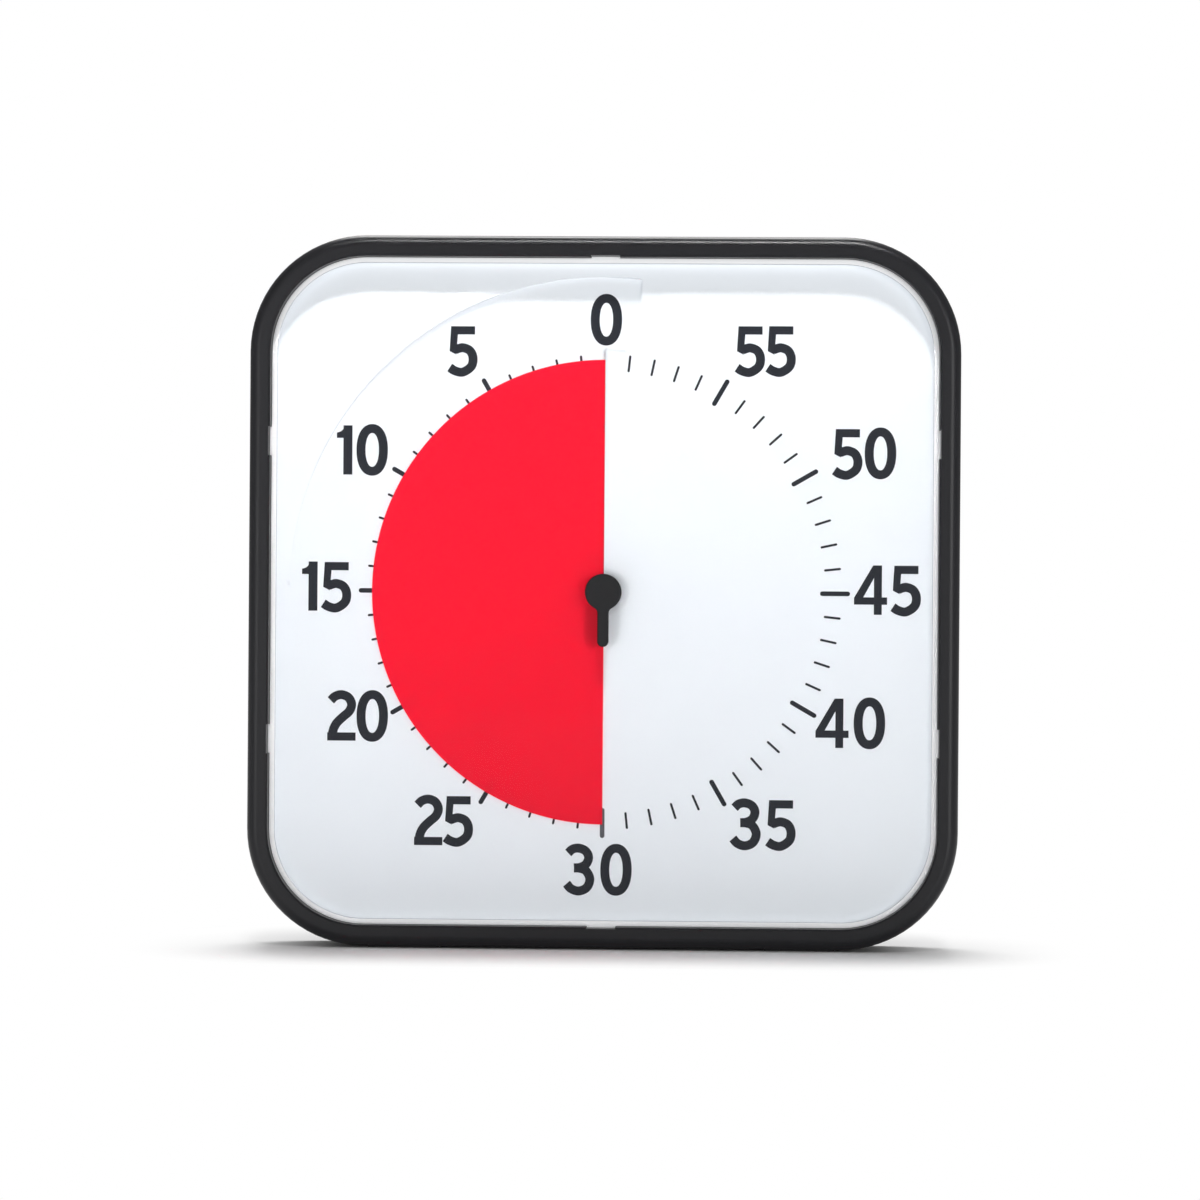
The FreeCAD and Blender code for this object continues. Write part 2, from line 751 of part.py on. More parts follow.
def mesh_phase(count_a, phase_a, centre_a, count_b, centre_b):
    """The phase of wheel b whose gaps meet the teeth of wheel a on the line of centres."""
    line = math.degrees(math.atan2(centre_b[1] - centre_a[1], centre_b[0] - centre_a[0]))
    share = ((line - phase_a) / (360 / count_a)) % 1
    return line + 180 - (0.5 - share) * 360 / count_b


TEETH = {"centre": 60, "third": 48, "fourth": 48, "third_pinion": 8, "fourth_pinion": 8, "rotor": 12}
SLIM_WHEEL = 0.86
SLIM_PINION = 0.78


def wheels():
    """The train from the shaft's wheel to the motor: 7.5, 6 and 4 to one."""
    front = number(dim("MoveStation"))
    back = number(dim("MoveBack"))
    centre = (0.0, 0.0)
    third, fourth, rotor_at = WHEELS["third"], WHEELS["fourth"], WHEELS["rotor"]
    third_phase = mesh_phase(TEETH["centre"], 0, centre, TEETH["third_pinion"], third)
    wheel_phase = mesh_phase(TEETH["fourth_pinion"], 0, fourth, TEETH["third"], third)
    rotor_phase = mesh_phase(TEETH["fourth"], 0, fourth, TEETH["rotor"], rotor_at)
    centre_gear = gear(TEETH["centre"], 0, SLIM_WHEEL, 0, 0, front + 3.5, 1.2,
                       number(dim("TailRadius")))
    pivot = (front + 0.75, back - 0.75)
    third_parts = [gear(TEETH["third_pinion"], third_phase, SLIM_PINION, *third, front + 3.1, 2.2),
                   gear(TEETH["third"], wheel_phase, SLIM_WHEEL, *third, front + 6.1, 1.2),
                   rod(0.6, *third, *pivot), rod(1.1, *third, front + 5.2, front + 6.2)]
    fourth_parts = [gear(TEETH["fourth_pinion"], 0, SLIM_PINION, *fourth, front + 5.7, 2.2),
                    gear(TEETH["fourth"], 0, SLIM_WHEEL, *fourth, front + 8.7, 1.0),
                    rod(0.6, *fourth, *pivot), rod(1.1, *fourth, front + 7.8, front + 8.8)]
    rotor_parts = [gear(TEETH["rotor"], rotor_phase, SLIM_PINION, *rotor_at, front + 8.3, 1.8),
                   rod(2.2, *rotor_at, front + 4.2, front + 7.6), rod(0.6, *rotor_at, *pivot)]
    feature("centre_wheel", centre_gear)
    for label, parts in (("third_wheel", third_parts), ("fourth_wheel", fourth_parts),
                         ("rotor", rotor_parts)):
        feature(label, parts[0].multiFuse(parts[1:]).removeSplitter())


def clutch_spring():
    """A three-armed washer that presses the wheel on the shaft and slips when the knob is set."""
    piece = Piece("clutch_spring")
    washer = piece.sketch(dim("MoveStation") + 2.6)
    circle(washer, 3.4)
    circle(washer, dim("TailRadius"))
    piece.pad(washer, 0.4)
    arm = piece.sketch(dim("MoveStation") + 3.0)
    corners(arm, -0.9, 2.2, 0.9, 7.5)
    pad = piece.pad(arm, 0.5)
    pattern = piece.body.newObject("PartDesign::PolarPattern", "clutch_spring_arms")
    pattern.Originals = [pad]
    pattern.Axis = (arm, ["N_Axis"])
    pattern.Angle = 360
    pattern.Occurrences = 3
    piece.body.Tip = pattern
    doc.recompute()
    return piece.body


def motor():
    """The stepping motor: a slotted plate round the magnet, closed by the coil's core."""
    start = dim("MoveStation") + 5.3
    piece = Piece("stator")
    plate = piece.sketch(start)
    corners(plate, -15, -16.5, 15, -8.2)
    piece.pad(plate, 0.7)
    legs = piece.sketch(start)
    corners(legs, -15, -24, -11, -16.5)
    corners(legs, 11, -24, 15, -16.5)
    piece.pad(legs, 0.7)
    hole = piece.sketch(start)
    circle(hole, 2.7, *WHEELS["rotor"])
    piece.pocket(hole, 0.7)
    core_front = start + 0.7
    box("coil_core", (-15, core_front, -23), (15, core_front + 0.8, -21))
    tube = cylinder("bobbin_tube", 1.7, (-9.5, core_front + 0.4, -22), 19, "x")
    left = cylinder("bobbin_left", 3.2, (-10.5, core_front + 0.4, -22), 1.2, "x")
    right = cylinder("bobbin_right", 3.2, (9.3, core_front + 0.4, -22), 1.2, "x")
    slot = box("bobbin_slot", (-12, core_front, -23), (12, core_front + 0.8, -21))
    join("cut", "coil_bobbin", [join("fuse", "bobbin_body", [tube, left, right]), slot])
    winding = cylinder("winding_body", 2.9, (-9.3, core_front + 0.4, -22), 18.6, "x")
    inside = cylinder("winding_hole", 1.7, (-9.3, core_front + 0.4, -22), 18.6, "x")
    join("cut", "coil_winding", [winding, inside])


def electronics():
    board = dim("MoveBack") - 3.4
    box("circuit_board", (9, board, -24), (25, board + 1.0, 24))
    cylinder("quartz_crystal", 1.0, (20, board - 1.0, 8), 6, "z")
    box("timer_chip", (14, board - 1.2, -10), (20, board, -4))


def alarm_parts():
    """A cam with a notch that lets the leaf fall on its contact when the disc is home at 0."""
    cam = dim("MoveBack") - 4.6
    piece = Piece("alarm_cam")
    disc = piece.sketch(cam)
    circle(disc, 6.0)
    circle(disc, dim("TailRadius"))
    piece.pad(disc, 1.0)
    notch = piece.sketch(cam)
    corners(notch, -0.8, 4.6, 0.8, 7)
    piece.pocket(notch, 1.0)
    blade = box("leaf_blade", (6.4, cam, -7.6), (6.7, cam + 1.0, 4))
    foot = box("leaf_foot", (6.4, cam, -7.9), (9, cam + 1.0, -7.6))
    join("fuse", "contact_leaf", [blade, foot])


# the rear


def rear_housing():
    piece = Piece("rear_housing")
    split = dim("BezelDepth")
    wall = dim("ShellWall")
    inside = dim("Depth") - wall
    shell = piece.sketch(split)
    rounded(shell, HALF, HALF, dim("FaceCorner"))
    piece.pad(shell, dim("Depth") - split)
    piece.chamfer(lambda e: at_station(e, dim("Depth")), dim("BackBevel"))
    hollow = piece.sketch(split)
    rounded(hollow, HALF - wall, HALF - wall, dim("FaceCorner") - wall)
    piece.pocket(hollow, inside - split)
    clamp = dim("DialStation") + dim("DialThick")
    for start, outer in ((clamp, HALF - dim("DialMargin")), (split, HALF - wall)):
        ribs = piece.sketch(start)
        dial_ribs(ribs, OPENING + 0.6, outer)
        piece.pad(ribs, inside - start + 1)
    columns = piece.sketch(split)
    for sx in (-1, 1):
        for sz in (-1, 1):
            circle(columns, dim("ColumnRadius") + 0.4, dim("ColumnSpread") * sx,
                   dim("ColumnSpread") * sz)
    piece.pad(columns, inside - split + 1)
    posts = piece.sketch(dim("MoveBack"))
    post = dim("PostSpread")
    circle(posts, dim("PostRadius"), post, 0)
    circle(posts, dim("PostRadius"), -post, 0)
    piece.pad(posts, inside - dim("MoveBack") + 1)
    post_holes = piece.sketch(dim("MoveBack"))
    circle(post_holes, dim("MoveScrew"), post, 0)
    circle(post_holes, dim("MoveScrew"), -post, 0)
    piece.pocket(post_holes, 6)
    screw_holes = piece.sketch(split)
    heads = piece.sketch(dim("Depth") - dim("HeadDepth"))
    for sx in (-1, 1):
        for sz in (-1, 1):
            x, z = dim("ColumnSpread") * sx, dim("ColumnSpread") * sz
            circle(screw_holes, dim("ScrewRadius"), x, z)
            circle(heads, dim("HeadHole"), x, z)
    piece.pocket(screw_holes, dim("Depth") - split)
    piece.pocket(heads, dim("HeadDepth"))
    battery_bay(piece)
    vents_and_slots(piece)
    return piece.body


def dial_ribs(sketch, inner, outer):
    """Eight ribs, two on each side, that press the dial's rim against the lens."""
    for place in (-75, 75):
        for side in (-1, 1):
            low, high = (inner, outer) if side > 0 else (-outer, -inner)
            corners(sketch, low, place - 1, high, place + 1)
            corners(sketch, place - 1, low, place + 1, high)


def battery_bay(piece):
    """A well for one cell, open behind, with a rebate for its sliding door."""
    inside = dim("Depth") - dim("ShellWall")
    middle = dim("BayCentre")
    wall = dim("BayWall")
    half_x, half_z = dim("BayHalfLength"), dim("BayHalfWidth")
    front = dim("BayStation") - 1.5
    well = piece.sketch(front)
    rounded(well, half_x + wall, half_z + wall, 2, 0, middle)
    piece.pad(well, inside - front + 1)
    cavity = piece.sketch(dim("BayStation"))
    rounded(cavity, half_x, half_z, 1, 0, middle)
    piece.pocket(cavity, dim("Depth") - dim("BayStation"))
    lead_slots = piece.sketch(dim("BayStation") + 3)
    corners(lead_slots, -half_x - wall - 0.5, middle + 1.2, -half_x + 0.5, middle + 3.7)
    corners(lead_slots, half_x - 0.5, middle + 1.2, half_x + wall + 0.5, middle + 3.7)
    piece.pocket(lead_slots, 1.8)
    ledge = dim("DoorLedge")
    rebate = piece.sketch(dim("Depth") - dim("DoorThick") - 0.2)
    rounded(rebate, half_x + ledge, half_z + ledge - 0.5, 2, 0, middle)
    piece.pocket(rebate, dim("DoorThick") + 0.2)


def vents_and_slots(piece):
    """Sound slots, the switch slot and the keyhole for a wall screw, through the back wall."""
    inside = dim("Depth") - dim("ShellWall")
    vents = piece.sketch(inside - 0.5)
    for i in range(5):
        rounded(vents, 9, 1, 0.99, -75, -20 + 5 * (i - 2))
    piece.pocket(vents, dim("ShellWall") + 1)
    switch = piece.sketch(inside - 0.5)
    rounded(switch, 5.5, 2.2, 0.5, 60, -40)
    piece.pocket(switch, dim("ShellWall") + 1)
    recess = piece.sketch(dim("Depth") - 1.2)
    rounded(recess, 9, 5, 1.5, 60, -40)
    piece.pocket(recess, 2)
    keyhole = piece.sketch(inside - 0.5)
    circle(keyhole, dim("KeyholeRadius"), 0, dim("KeyholeHeight"))
    piece.pocket(keyhole, dim("ShellWall") + 1)
    neck = piece.sketch(inside - 0.5)
    slot = dim("KeyholeSlot")
    corners(neck, -slot, dim("KeyholeHeight"), slot, dim("KeyholeHeight") + dim("KeyholeRise"))
    piece.pocket(neck, dim("ShellWall") + 1)
    top = piece.sketch(inside - 0.5)
    circle(top, slot, 0, dim("KeyholeHeight") + dim("KeyholeRise"))
    piece.pocket(top, dim("ShellWall") + 1)


def battery_parts():
    middle = dim("BayCentre")
    door = Piece("battery_door")
    plate = door.sketch(dim("Depth") - dim("DoorThick"))
    reach_out = dim("DoorLedge") - dim("DoorGap")
    rounded(plate, dim("BayHalfLength") + reach_out, dim("BayHalfWidth") + reach_out - 0.5, 1.8,
            0, middle)
    door.pad(plate, dim("DoorThick"))
    grips = door.sketch(dim("Depth") - 0.6)
    for i in range(5):
        corners(grips, -8, middle + 3 + i * 1.8, 8, middle + 3.8 + i * 1.8)
    door.pocket(grips, 0.6)
    cell = number(dim("CellStation"))
    can = cylinder("cell_can", dim("BatteryRadius"), (-24.5, cell, middle), dim("BatteryLength") - 1.2, "x")
    tip = cylinder("cell_tip", 2.6, (24.3, cell, middle), 1.2, "x")
    join("fuse", "aa_battery", [can, tip])
    sheet_plate = box("plate_sheet", (31.0, cell - 6, middle - 6), (31.5, cell + 6, middle + 6))
    dimple = cylinder("plate_dimple", 3.0, (25.5, cell, middle), 5.5, "x")
    join("fuse", "battery_plate", [sheet_plate, dimple])
    battery_spring(cell, number(middle))


def battery_spring(station, height):
    """A bent leaf of spring strip that presses the cell on its plate."""
    wall, foot, tip, thick = -31.5, -31.1, -24.6, 0.35
    front = number(depth_to_y(station)) - 4

    def strip(points):
        places = [Vector(x, front, DIAL_HEIGHT.value + height + z) for x, z in points]
        return Part.Face(polygon(places)).extrude(Vector(0, 8, 0))

    base = strip([(wall, -5.5), (foot, -5.5), (foot, 5.5), (wall, 5.5)])
    arch = [(foot, 4.6), (tip - 0.4, 1.2), (tip, 0), (tip - 0.4, -1.2), (foot, -4.6)]
    inside = [(max(x - thick, foot), z * 0.88) for x, z in reversed(arch)]
    feature("battery_spring", base.fuse(strip(arch + inside)))


def lead_wire(label, points, radius=0.6):
    """A covered wire: straight runs joined by tangent arcs, from one terminal to the other.

    Its section has eight sides, which keeps so thin a wire to few faces.
    """
    stops = [Vector(x, number(depth_to_y(s)), DIAL_HEIGHT.value + z) for x, s, z in points]
    edges = []
    start = stops[0]
    for before, corner, after in zip(stops, stops[1:], stops[2:]):
        into, out = (corner - before), (after - corner)
        cut = 0.45 * min(into.Length, out.Length)
        into.normalize()
        out.normalize()
        first, last = corner - into * cut, corner + out * cut
        middle = corner + (out - into) * (cut * bend_share(into, out))
        edges.append(Part.LineSegment(start, first).toShape())
        edges.append(Part.Arc(first, middle, last).toShape())
        start = last
    edges.append(Part.LineSegment(start, stops[-1]).toShape())
    section = Part.Wire([Part.makeCircle(radius, stops[0], stops[1] - stops[0])])
    section = Part.makePolygon(section.discretize(Number=9))
    feature(label, Part.Wire(edges).makePipeShell([section], True, False))


def bend_share(into, out):
    """How far a rounding arc's middle lies from the corner, as a share of the cut's bisector."""
    half = into.getAngle(out) / 2
    depth = (1 / math.cos(half) - 1) / math.tan(half)
    return depth / (2 * math.sin(half))


def leads():
    """The wires from the cell's contacts and the buzzer to the movement."""
    bay = number(dim("BayCentre"))
    exit_station = number(dim("MoveBack")) - 3.0
    edge = -number(dim("MoveSize")) / 2
    lead_wire("battery_lead_red", [(31.6, 30, bay + 2), (38, 30, bay + 4), (37, 29.6, bay + 26),
                                   (21, exit_station, edge - 8), (20, exit_station, edge)])
    lead_wire("battery_lead_black", [(-31.6, 30, bay + 2), (-38, 30, bay + 4), (-36, 29.6, bay + 26),
                                     (9, exit_station, edge - 12), (17, exit_station, edge - 6),
                                     (17, exit_station, edge)])
    lead_wire("buzzer_lead_red", [(-75, 35.9, -14), (-74, 31, -12), (-58, 29, -14),
                                  (-42, exit_station, -12), (edge, exit_station, -10)])
    lead_wire("buzzer_lead_black", [(-70, 35.9, -26), (-69, 31, -24), (-56, 29, -20),
                                    (-42, exit_station, -15), (edge, exit_station, -14)])


def switch_parts():
    box("switch_body", (52, 34.5, -44.5), (68, 40.7, -35.5))
    knob_piece = Piece("switch_slider")
    stem = knob_piece.sketch(40.9)
    rounded(stem, 2.2, 1.7, 0.4, 58.2, -40)
    knob_piece.pad(stem, 2.4)
    cap = knob_piece.sketch(dim("Depth") - 1.0)
    rounded(cap, 3.0, 1.7, 0.4, 58.2, -40)
    knob_piece.pad(cap, 1.0)
    return knob_piece.body


def buzzer_parts():
    shell = cylinder("buzzer_shell", 14, (-75, 36.0, -20), 5.2)
    inside = cylinder("buzzer_room", 12.6, (-75, 37.0, -20), 5)
    join("cut", "buzzer_case", [shell, inside])
    cylinder("piezo_disc", 12.4, (-75, 38.4, -20), 0.5)


def screws():
    """Identical screws share a node: pan heads on plain shanks."""
    spread = number(dim("ColumnSpread"))
    head = number(dim("Depth")) - 8
    case = []
    for sx in (-1, 1):
        for sz in (-1, 1):
            shank = rod(number(dim("ScrewRadius")), sx * spread, sz * spread, 9.4, head + 0.2)
            cap = rod(2.7, sx * spread, sz * spread, head, head + 2.2)
            case.append(shank.fuse(cap))
    feature("case_screws", Part.makeCompound(case))
    post = number(dim("PostSpread"))
    bite = number(dim("MoveScrew"))
    small = []
    for sx in (-1, 1):
        shank = rod(bite, sx * post, 0, number(dim("MoveBack")) - 2.1, number(dim("MoveBack")) + 5.5)
        cap = rod(2.4, sx * post, 0, number(dim("MoveBack")) - 3.8, number(dim("MoveBack")) - 2.0)
        small.append(shank.fuse(cap))
    feature("movement_screws", Part.makeCompound(small))


def feet():
    """Rubber strips stuck under the bezel and under the housing."""
    height = number(dim("FootHeight"))
    strips = []
    for x in (-85, 85):
        for station in (5.0, 33.5):
            corner = Vector(x - 15, number(depth_to_y(station)), 0)
            strips.append(Part.makeBox(30, 6, height, corner))
    feature("feet", Part.makeCompound(strips))


front_bezel()
clear_lens()
dial_plate()
red_disc()
disc_hub()
knob()
arbor()
movement_front()
movement_back()
wheels()
clutch_spring()
motor()
electronics()
alarm_parts()
rear_housing()
battery_parts()
switch_parts()
buzzer_parts()
leads()
screws()
feet()
doc.recompute()

NODES = [
    "front_bezel", "clear_lens", "dial_plate", "red_disc", "disc_hub", "knob", "arbor",
    "movement_front", "movement_back", "centre_wheel", "third_wheel", "fourth_wheel", "rotor",
    "clutch_spring", "stator", "coil_core", "coil_bobbin", "coil_winding", "circuit_board",
    "quartz_crystal", "timer_chip", "alarm_cam", "contact_leaf", "rear_housing", "battery_door",
    "aa_battery", "battery_plate", "switch_body", "switch_slider", "buzzer_case", "piezo_disc",
    "case_screws", "movement_screws", "feet", "battery_spring", "battery_lead_red",
    "battery_lead_black", "buzzer_lead_red", "buzzer_lead_black",
]

for thing in doc.Objects:
    if "Invalid" in thing.State or "Error" in thing.State:
        raise RuntimeError(f"{thing.Label} did not compute: {thing.State}")
os.makedirs("parts", exist_ok=True)
for label in NODES:
    part = doc.getObjectsByLabel(label)[0]
    if part.Shape.isNull() or not part.Shape.isValid() or not part.Shape.Solids:
        raise RuntimeError(f"{label} has no valid solid")
    part.Shape.exportStep(f"parts/{label}.step")
    print(label, len(part.Shape.Solids), round(part.Shape.Volume))
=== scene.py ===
"""Visual countdown timer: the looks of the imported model.

Metres, X right as seen from the front, Z up, the dial faces -Y. A station is a depth behind the
front plane of the frame, a height is measured from the dial's centre, and a dial angle is 0 at
the top and counts counterclockwise from the front, as the numbers do.
"""
import math

import bpy
import numpy as np
from bpy.props import FloatProperty, FloatVectorProperty, PointerProperty
from mathutils import Euler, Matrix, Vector


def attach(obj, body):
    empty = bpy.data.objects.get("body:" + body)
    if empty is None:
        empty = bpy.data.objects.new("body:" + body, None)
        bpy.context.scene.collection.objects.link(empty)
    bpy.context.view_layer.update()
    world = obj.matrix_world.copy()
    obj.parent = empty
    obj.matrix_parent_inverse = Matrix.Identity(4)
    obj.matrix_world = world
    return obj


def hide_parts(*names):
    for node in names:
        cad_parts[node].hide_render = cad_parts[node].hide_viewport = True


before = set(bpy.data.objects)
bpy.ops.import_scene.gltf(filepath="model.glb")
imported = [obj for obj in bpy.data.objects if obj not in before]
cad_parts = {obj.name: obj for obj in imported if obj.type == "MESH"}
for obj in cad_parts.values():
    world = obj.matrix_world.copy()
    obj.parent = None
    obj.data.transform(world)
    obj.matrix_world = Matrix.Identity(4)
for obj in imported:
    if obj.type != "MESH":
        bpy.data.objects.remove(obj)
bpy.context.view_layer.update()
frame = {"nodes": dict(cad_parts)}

bl_info = {
    "name": "Visual countdown timer",
    "version": (1, 0, 0),
    "blender": (4, 5, 0),
    "location": "3D View > Sidebar > Timer",
    "description": "Builds the dial, its print, the red disc and the window of a countdown timer",
    "category": "Object",
}


def length(name, description, default):
    """A length property in metres."""
    return FloatProperty(name=name, description=description, default=default, precision=5,
                         subtype="DISTANCE", unit="LENGTH")


def degrees(name, description, default):
    """An angle property from a default in degrees."""
    return FloatProperty(name=name, description=description, default=math.radians(default),
                         subtype="ANGLE", unit="ROTATION")


def colour(name, description, default):
    """A colour property from display values of 0 to 255."""
    share = [value / 255 for value in default]
    linear = [v / 12.92 if v < 0.04045 else ((v + 0.055) / 1.055) ** 2.4 for v in share]
    return FloatVectorProperty(name=name, description=description, default=linear,
                               subtype="COLOR", size=3, min=0, max=1)


class TimerSize(bpy.types.PropertyGroup):
    """Sizes and places of the dial, the frame, the window and the disc."""

    depth: length("Depth", "Front plane of the frame to the back", 0.044)
    dial_height: length("Dial height", "Centre of the dial above the ground", 0.1531)
    dial_station: length("Dial station", "Depth of the dial's flat rim", 0.0103)
    dial_thick: length("Dial thickness", "Wall of the dial plate", 0.0012)
    dial_half: length("Dial half", "Half the width of the dial plate", 0.1465)
    dial_corner: length("Dial corner", "Corner radius of the dial plate", 0.044)
    dial_hole: length("Dial hole", "Radius of the hole for the hub", 0.0065)
    ramp_foot: length("Ramp foot", "Radius where the ramp begins", 0.101)
    ramp_radius: length("Ramp radius", "Radius of the ramp's outer wall", 0.1355)
    ramp_sweep: degrees("Ramp sweep", "Angle over which the outer wall runs out", 90)
    lip_radius: length("Lip radius", "Outer radius of the lip beside the slit", 0.104)
    step_angle: degrees("Step angle", "Width of the recess right of the slit", 6.9)
    step_round: length("Step round", "Radius of the recess's inner corner", 0.0036)
    corner_round: length("Corner round", "Radius of the recess's outer corner", 0.0013)
    draft: length("Draft", "Lean of the recess's walls over their full height", 0.0003)
    lead: length("Lead", "Climb of the dial and the disc in one turn", 0.0024)
    frame_half: length("Frame half", "Half the width of the frame", 0.1525)
    frame_corner: length("Frame corner", "Corner radius of the frame", 0.05)
    rail: length("Rail", "Width of the frame's rails", 0.009)
    lens_station: length("Window station", "Depth of the window's face", 0.0063)
    lens_thick: length("Window thickness", "Wall of the window", 0.0015)
    lens_gap: length("Window gap", "Air between the window and the frame", 0.0002)
    lens_skirt: length("Skirt", "Width of the window's rim", 0.0021)
    lens_hole: length("Window hole", "Radius of the hole for the knob", 0.0048)
    # the rim line, with its width and lift below, is a grey sheet of painted shade inside the rim
    lens_line: length("Rim line", "Width of the line inside the rim", 0.0003)
    lens_round: length("Rim round", "Round of the rim's outer front edge", 0.0003)
    line_lift: length("Line lift", "Height of the rim line above the window", 0.00002)
    rim_rest: length("Rim rest", "Air between the rim and the dial", 0.00003)
    tab_half: length("Tab half", "Half the length of a tab", 0.006)
    tab_spread: length("Tab spread", "Side tabs above and below the middle", 0.064)
    tab_reach: length("Tab reach", "How far a tab goes into the frame's edge", 0.00055)
    disc_inner: length("Disc inner radius", "Where the film starts on the hub", 0.0055)
    disc_outer: length("Disc outer radius", "Edge of the film", 0.1)
    disc_gap: length("Disc gap", "Air between the film and the dial", 0.00035)
    disc_thick: length("Disc thickness", "Thickness of the film", 0.0004)


class TimerPrint(bpy.types.PropertyGroup):
    """Sizes of the printed figures and lines."""

    lift: length("Lift", "Height of the ink above the dial", 0.00004)
    cap_height: length("Cap height", "Height of a flat-topped figure", 0.02121)
    minor_inner: length("Minute line start", "Inner radius of a minute line", 0.0951)
    minor_outer: length("Minute line end", "Outer radius of a minute line", 0.1024)
    minor_width: length("Minute line width", "Width of a minute line", 0.001)
    major_inner: length("Five-minute line start", "Inner radius of a five-minute line", 0.0929)
    major_outer: length("Five-minute line end", "Outer radius of a five-minute line", 0.1058)
    major_width: length("Five-minute line width", "Width of a five-minute line", 0.002)


class TimerLooks(bpy.types.PropertyGroup):
    """Colours of the main pieces."""

    white: colour("Dial white", "Matt white of the dial", (246, 249, 252))
    red: colour("Disc red", "Film of the disc", (252, 12, 58))
    ink: colour("Ink", "Figures and lines", (33, 35, 42))
    pale_ink: colour("Pale ink", "The thirty-minute line", (92, 92, 96))
    frame: colour("Frame", "Charcoal plastic of the frame", (31, 31, 34))
    housing: colour("Housing", "Charcoal plastic of the back", (42, 42, 45))
    knob: colour("Knob", "Charcoal plastic of the knob", (29, 29, 31))


class TimerStage(bpy.types.PropertyGroup):
    """The camera, the lights and the floor."""

    distance: length("Distance", "Camera to the dial", 2.0)
    yaw: degrees("Yaw", "Camera to the right of the dial's normal", 2.0)
    roll: degrees("Roll", "Clockwise turn of the picture", 0.42)
    lens: FloatProperty(name="Lens", description="Focal length in mm", default=139.5)
    aim_x: length("Aim x", "Point in the middle of the picture, from the dial's centre", -0.0016)
    aim_z: length("Aim height", "Point in the middle of the picture, from the dial's centre", -0.0034)
    key: FloatProperty(name="Key light", description="Watts of the upper right light", default=15.4)
    fill: FloatProperty(name="Fill light", description="Watts of the left light", default=10.2)
    strip: FloatProperty(name="Strip light", description="Watts of the strip above", default=1.1)
    back: FloatProperty(name="Back light", description="Watts of the light behind", default=34)
    world: FloatProperty(name="World", description="Strength of the room's light", default=0.28)
    strip_spread: degrees("Strip spread", "Angle over which the strip shines", 10)
    foot_half: length("Foot half", "Half the width over which the frame's bottom is flat", 0.1025)
    # the floor's glow between these two distances is painted light over the object's shadow
    fade_near: length("Fade start", "Distance from the foot where the floor starts to fade", 0.01)
    fade_far: length("Fade end", "Distance from the foot where the floor is white", 0.105)
    floor_half: length("Floor half", "Half the width of the floor", 4.0)
    floor_drop: length("Floor drop", "Floor below the feet", 0.0002)


# places


def world_points(x, station, height, size):
    """Points of the row frame from x, station and height above the dial's centre."""
    x, station, height = np.broadcast_arrays(*(np.asarray(v, float) for v in (x, station, height)))
    return np.stack([x, station - size.depth / 2, height + size.dial_height], axis=-1)


def polar(radius, angle):
    """x and height of a radius and a dial angle."""
    return -radius * np.sin(angle), radius * np.cos(angle)


def ramp_level(radius, angle, size):
    """How far the dial's face lies behind its flat rim.

    Inside the ramp's foot the face climbs one lead in a full turn: the level is the lead times
    the part of the turn that is left. Outside the ramp's radius it is the lead, fading evenly
    to nothing over the ramp's sweep. Between the two radii a smooth step mixes them.
    """
    inner = size.lead * (1 - angle / math.tau)
    outer = size.lead * np.clip(1 - angle / size.ramp_sweep, 0, 1)
    share = np.clip((radius - size.ramp_foot) / (size.ramp_radius - size.ramp_foot), 0, 1)
    mix = share * share * (3 - 2 * share)
    return inner * (1 - mix) + outer * mix


def face_station(x, height, size):
    """The station of the dial's face behind any point of it."""
    radius = np.hypot(x, height)
    angle = np.arctan2(-x, height) % math.tau
    level = ramp_level(radius, angle, size)
    recess = (angle > math.tau - size.step_angle) & (radius > size.lip_radius)
    level = np.where(recess, size.lead, level)
    return size.dial_station + np.where(radius > size.ramp_radius, 0, level)


# meshes


class Skin:
    """Point grids joined into one smooth-shaded mesh; equal points are welded."""

    def __init__(self):
        self.points, self.faces, self.count = [], [], 0

    def grid(self, points, flip=False, close=False):
        """Quads over points[row, column]; close joins the last column to the first."""
        rows, columns = points.shape[:2]
        i = np.arange(rows - 1)[:, None] * columns
        j = np.arange(columns if close else columns - 1)[None, :]
        k = (j + 1) % columns
        quads = np.stack([i + j, i + k, i + columns + k, i + columns + j], axis=-1)
        quads = quads.reshape(-1, 4) + self.count
        self.faces.append(quads[:, ::-1] if flip else quads)
        self.points.append(points.reshape(-1, 3))
        self.count += rows * columns

    def make(self, name, body=None, sharp=30):
        """The welded mesh as an object that rides on a body, if one is named."""
        points, index = np.unique(np.round(np.concatenate(self.points), 7), axis=0,
                                  return_inverse=True)
        faces = index.reshape(-1)[np.concatenate(self.faces)]
        faces = [list(dict.fromkeys(face)) for face in faces.tolist()]
        mesh = bpy.data.meshes.new(name)
        mesh.from_pydata(points.tolist(), [], [face for face in faces if len(face) > 2])
        mesh.validate()
        mesh.polygons.foreach_set("use_smooth", np.ones(len(mesh.polygons), bool))
        mesh.set_sharp_from_angle(angle=math.radians(sharp))
        thing = bpy.data.objects.new(name, mesh)
        bpy.context.scene.collection.objects.link(thing)
        if body:
            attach(thing, body)
        return thing


def spaced(*parts):
    """Samples through several (start, end, count) spans, each end shared with the next start."""
    runs = [np.linspace(start, end, count, endpoint=False) for start, end, count in parts]
    return np.concatenate(runs + [np.array([parts[-1][1]])])


def square_reach(angle, half, corner):
    """Distance from the centre to a square with round corners, by halving along each ray."""
    x, z = polar(1.0, angle)
    near, far = np.zeros_like(angle), np.full_like(angle, half * 1.5)
    for _ in range(40):
        middle = (near + far) / 2
        over_x = np.maximum(np.abs(x * middle) - (half - corner), 0)
        over_z = np.maximum(np.abs(z * middle) - (half - corner), 0)
        outside = np.hypot(over_x, over_z) > corner
        near, far = np.where(outside, near, middle), np.where(outside, middle, far)
    return near


# the dial


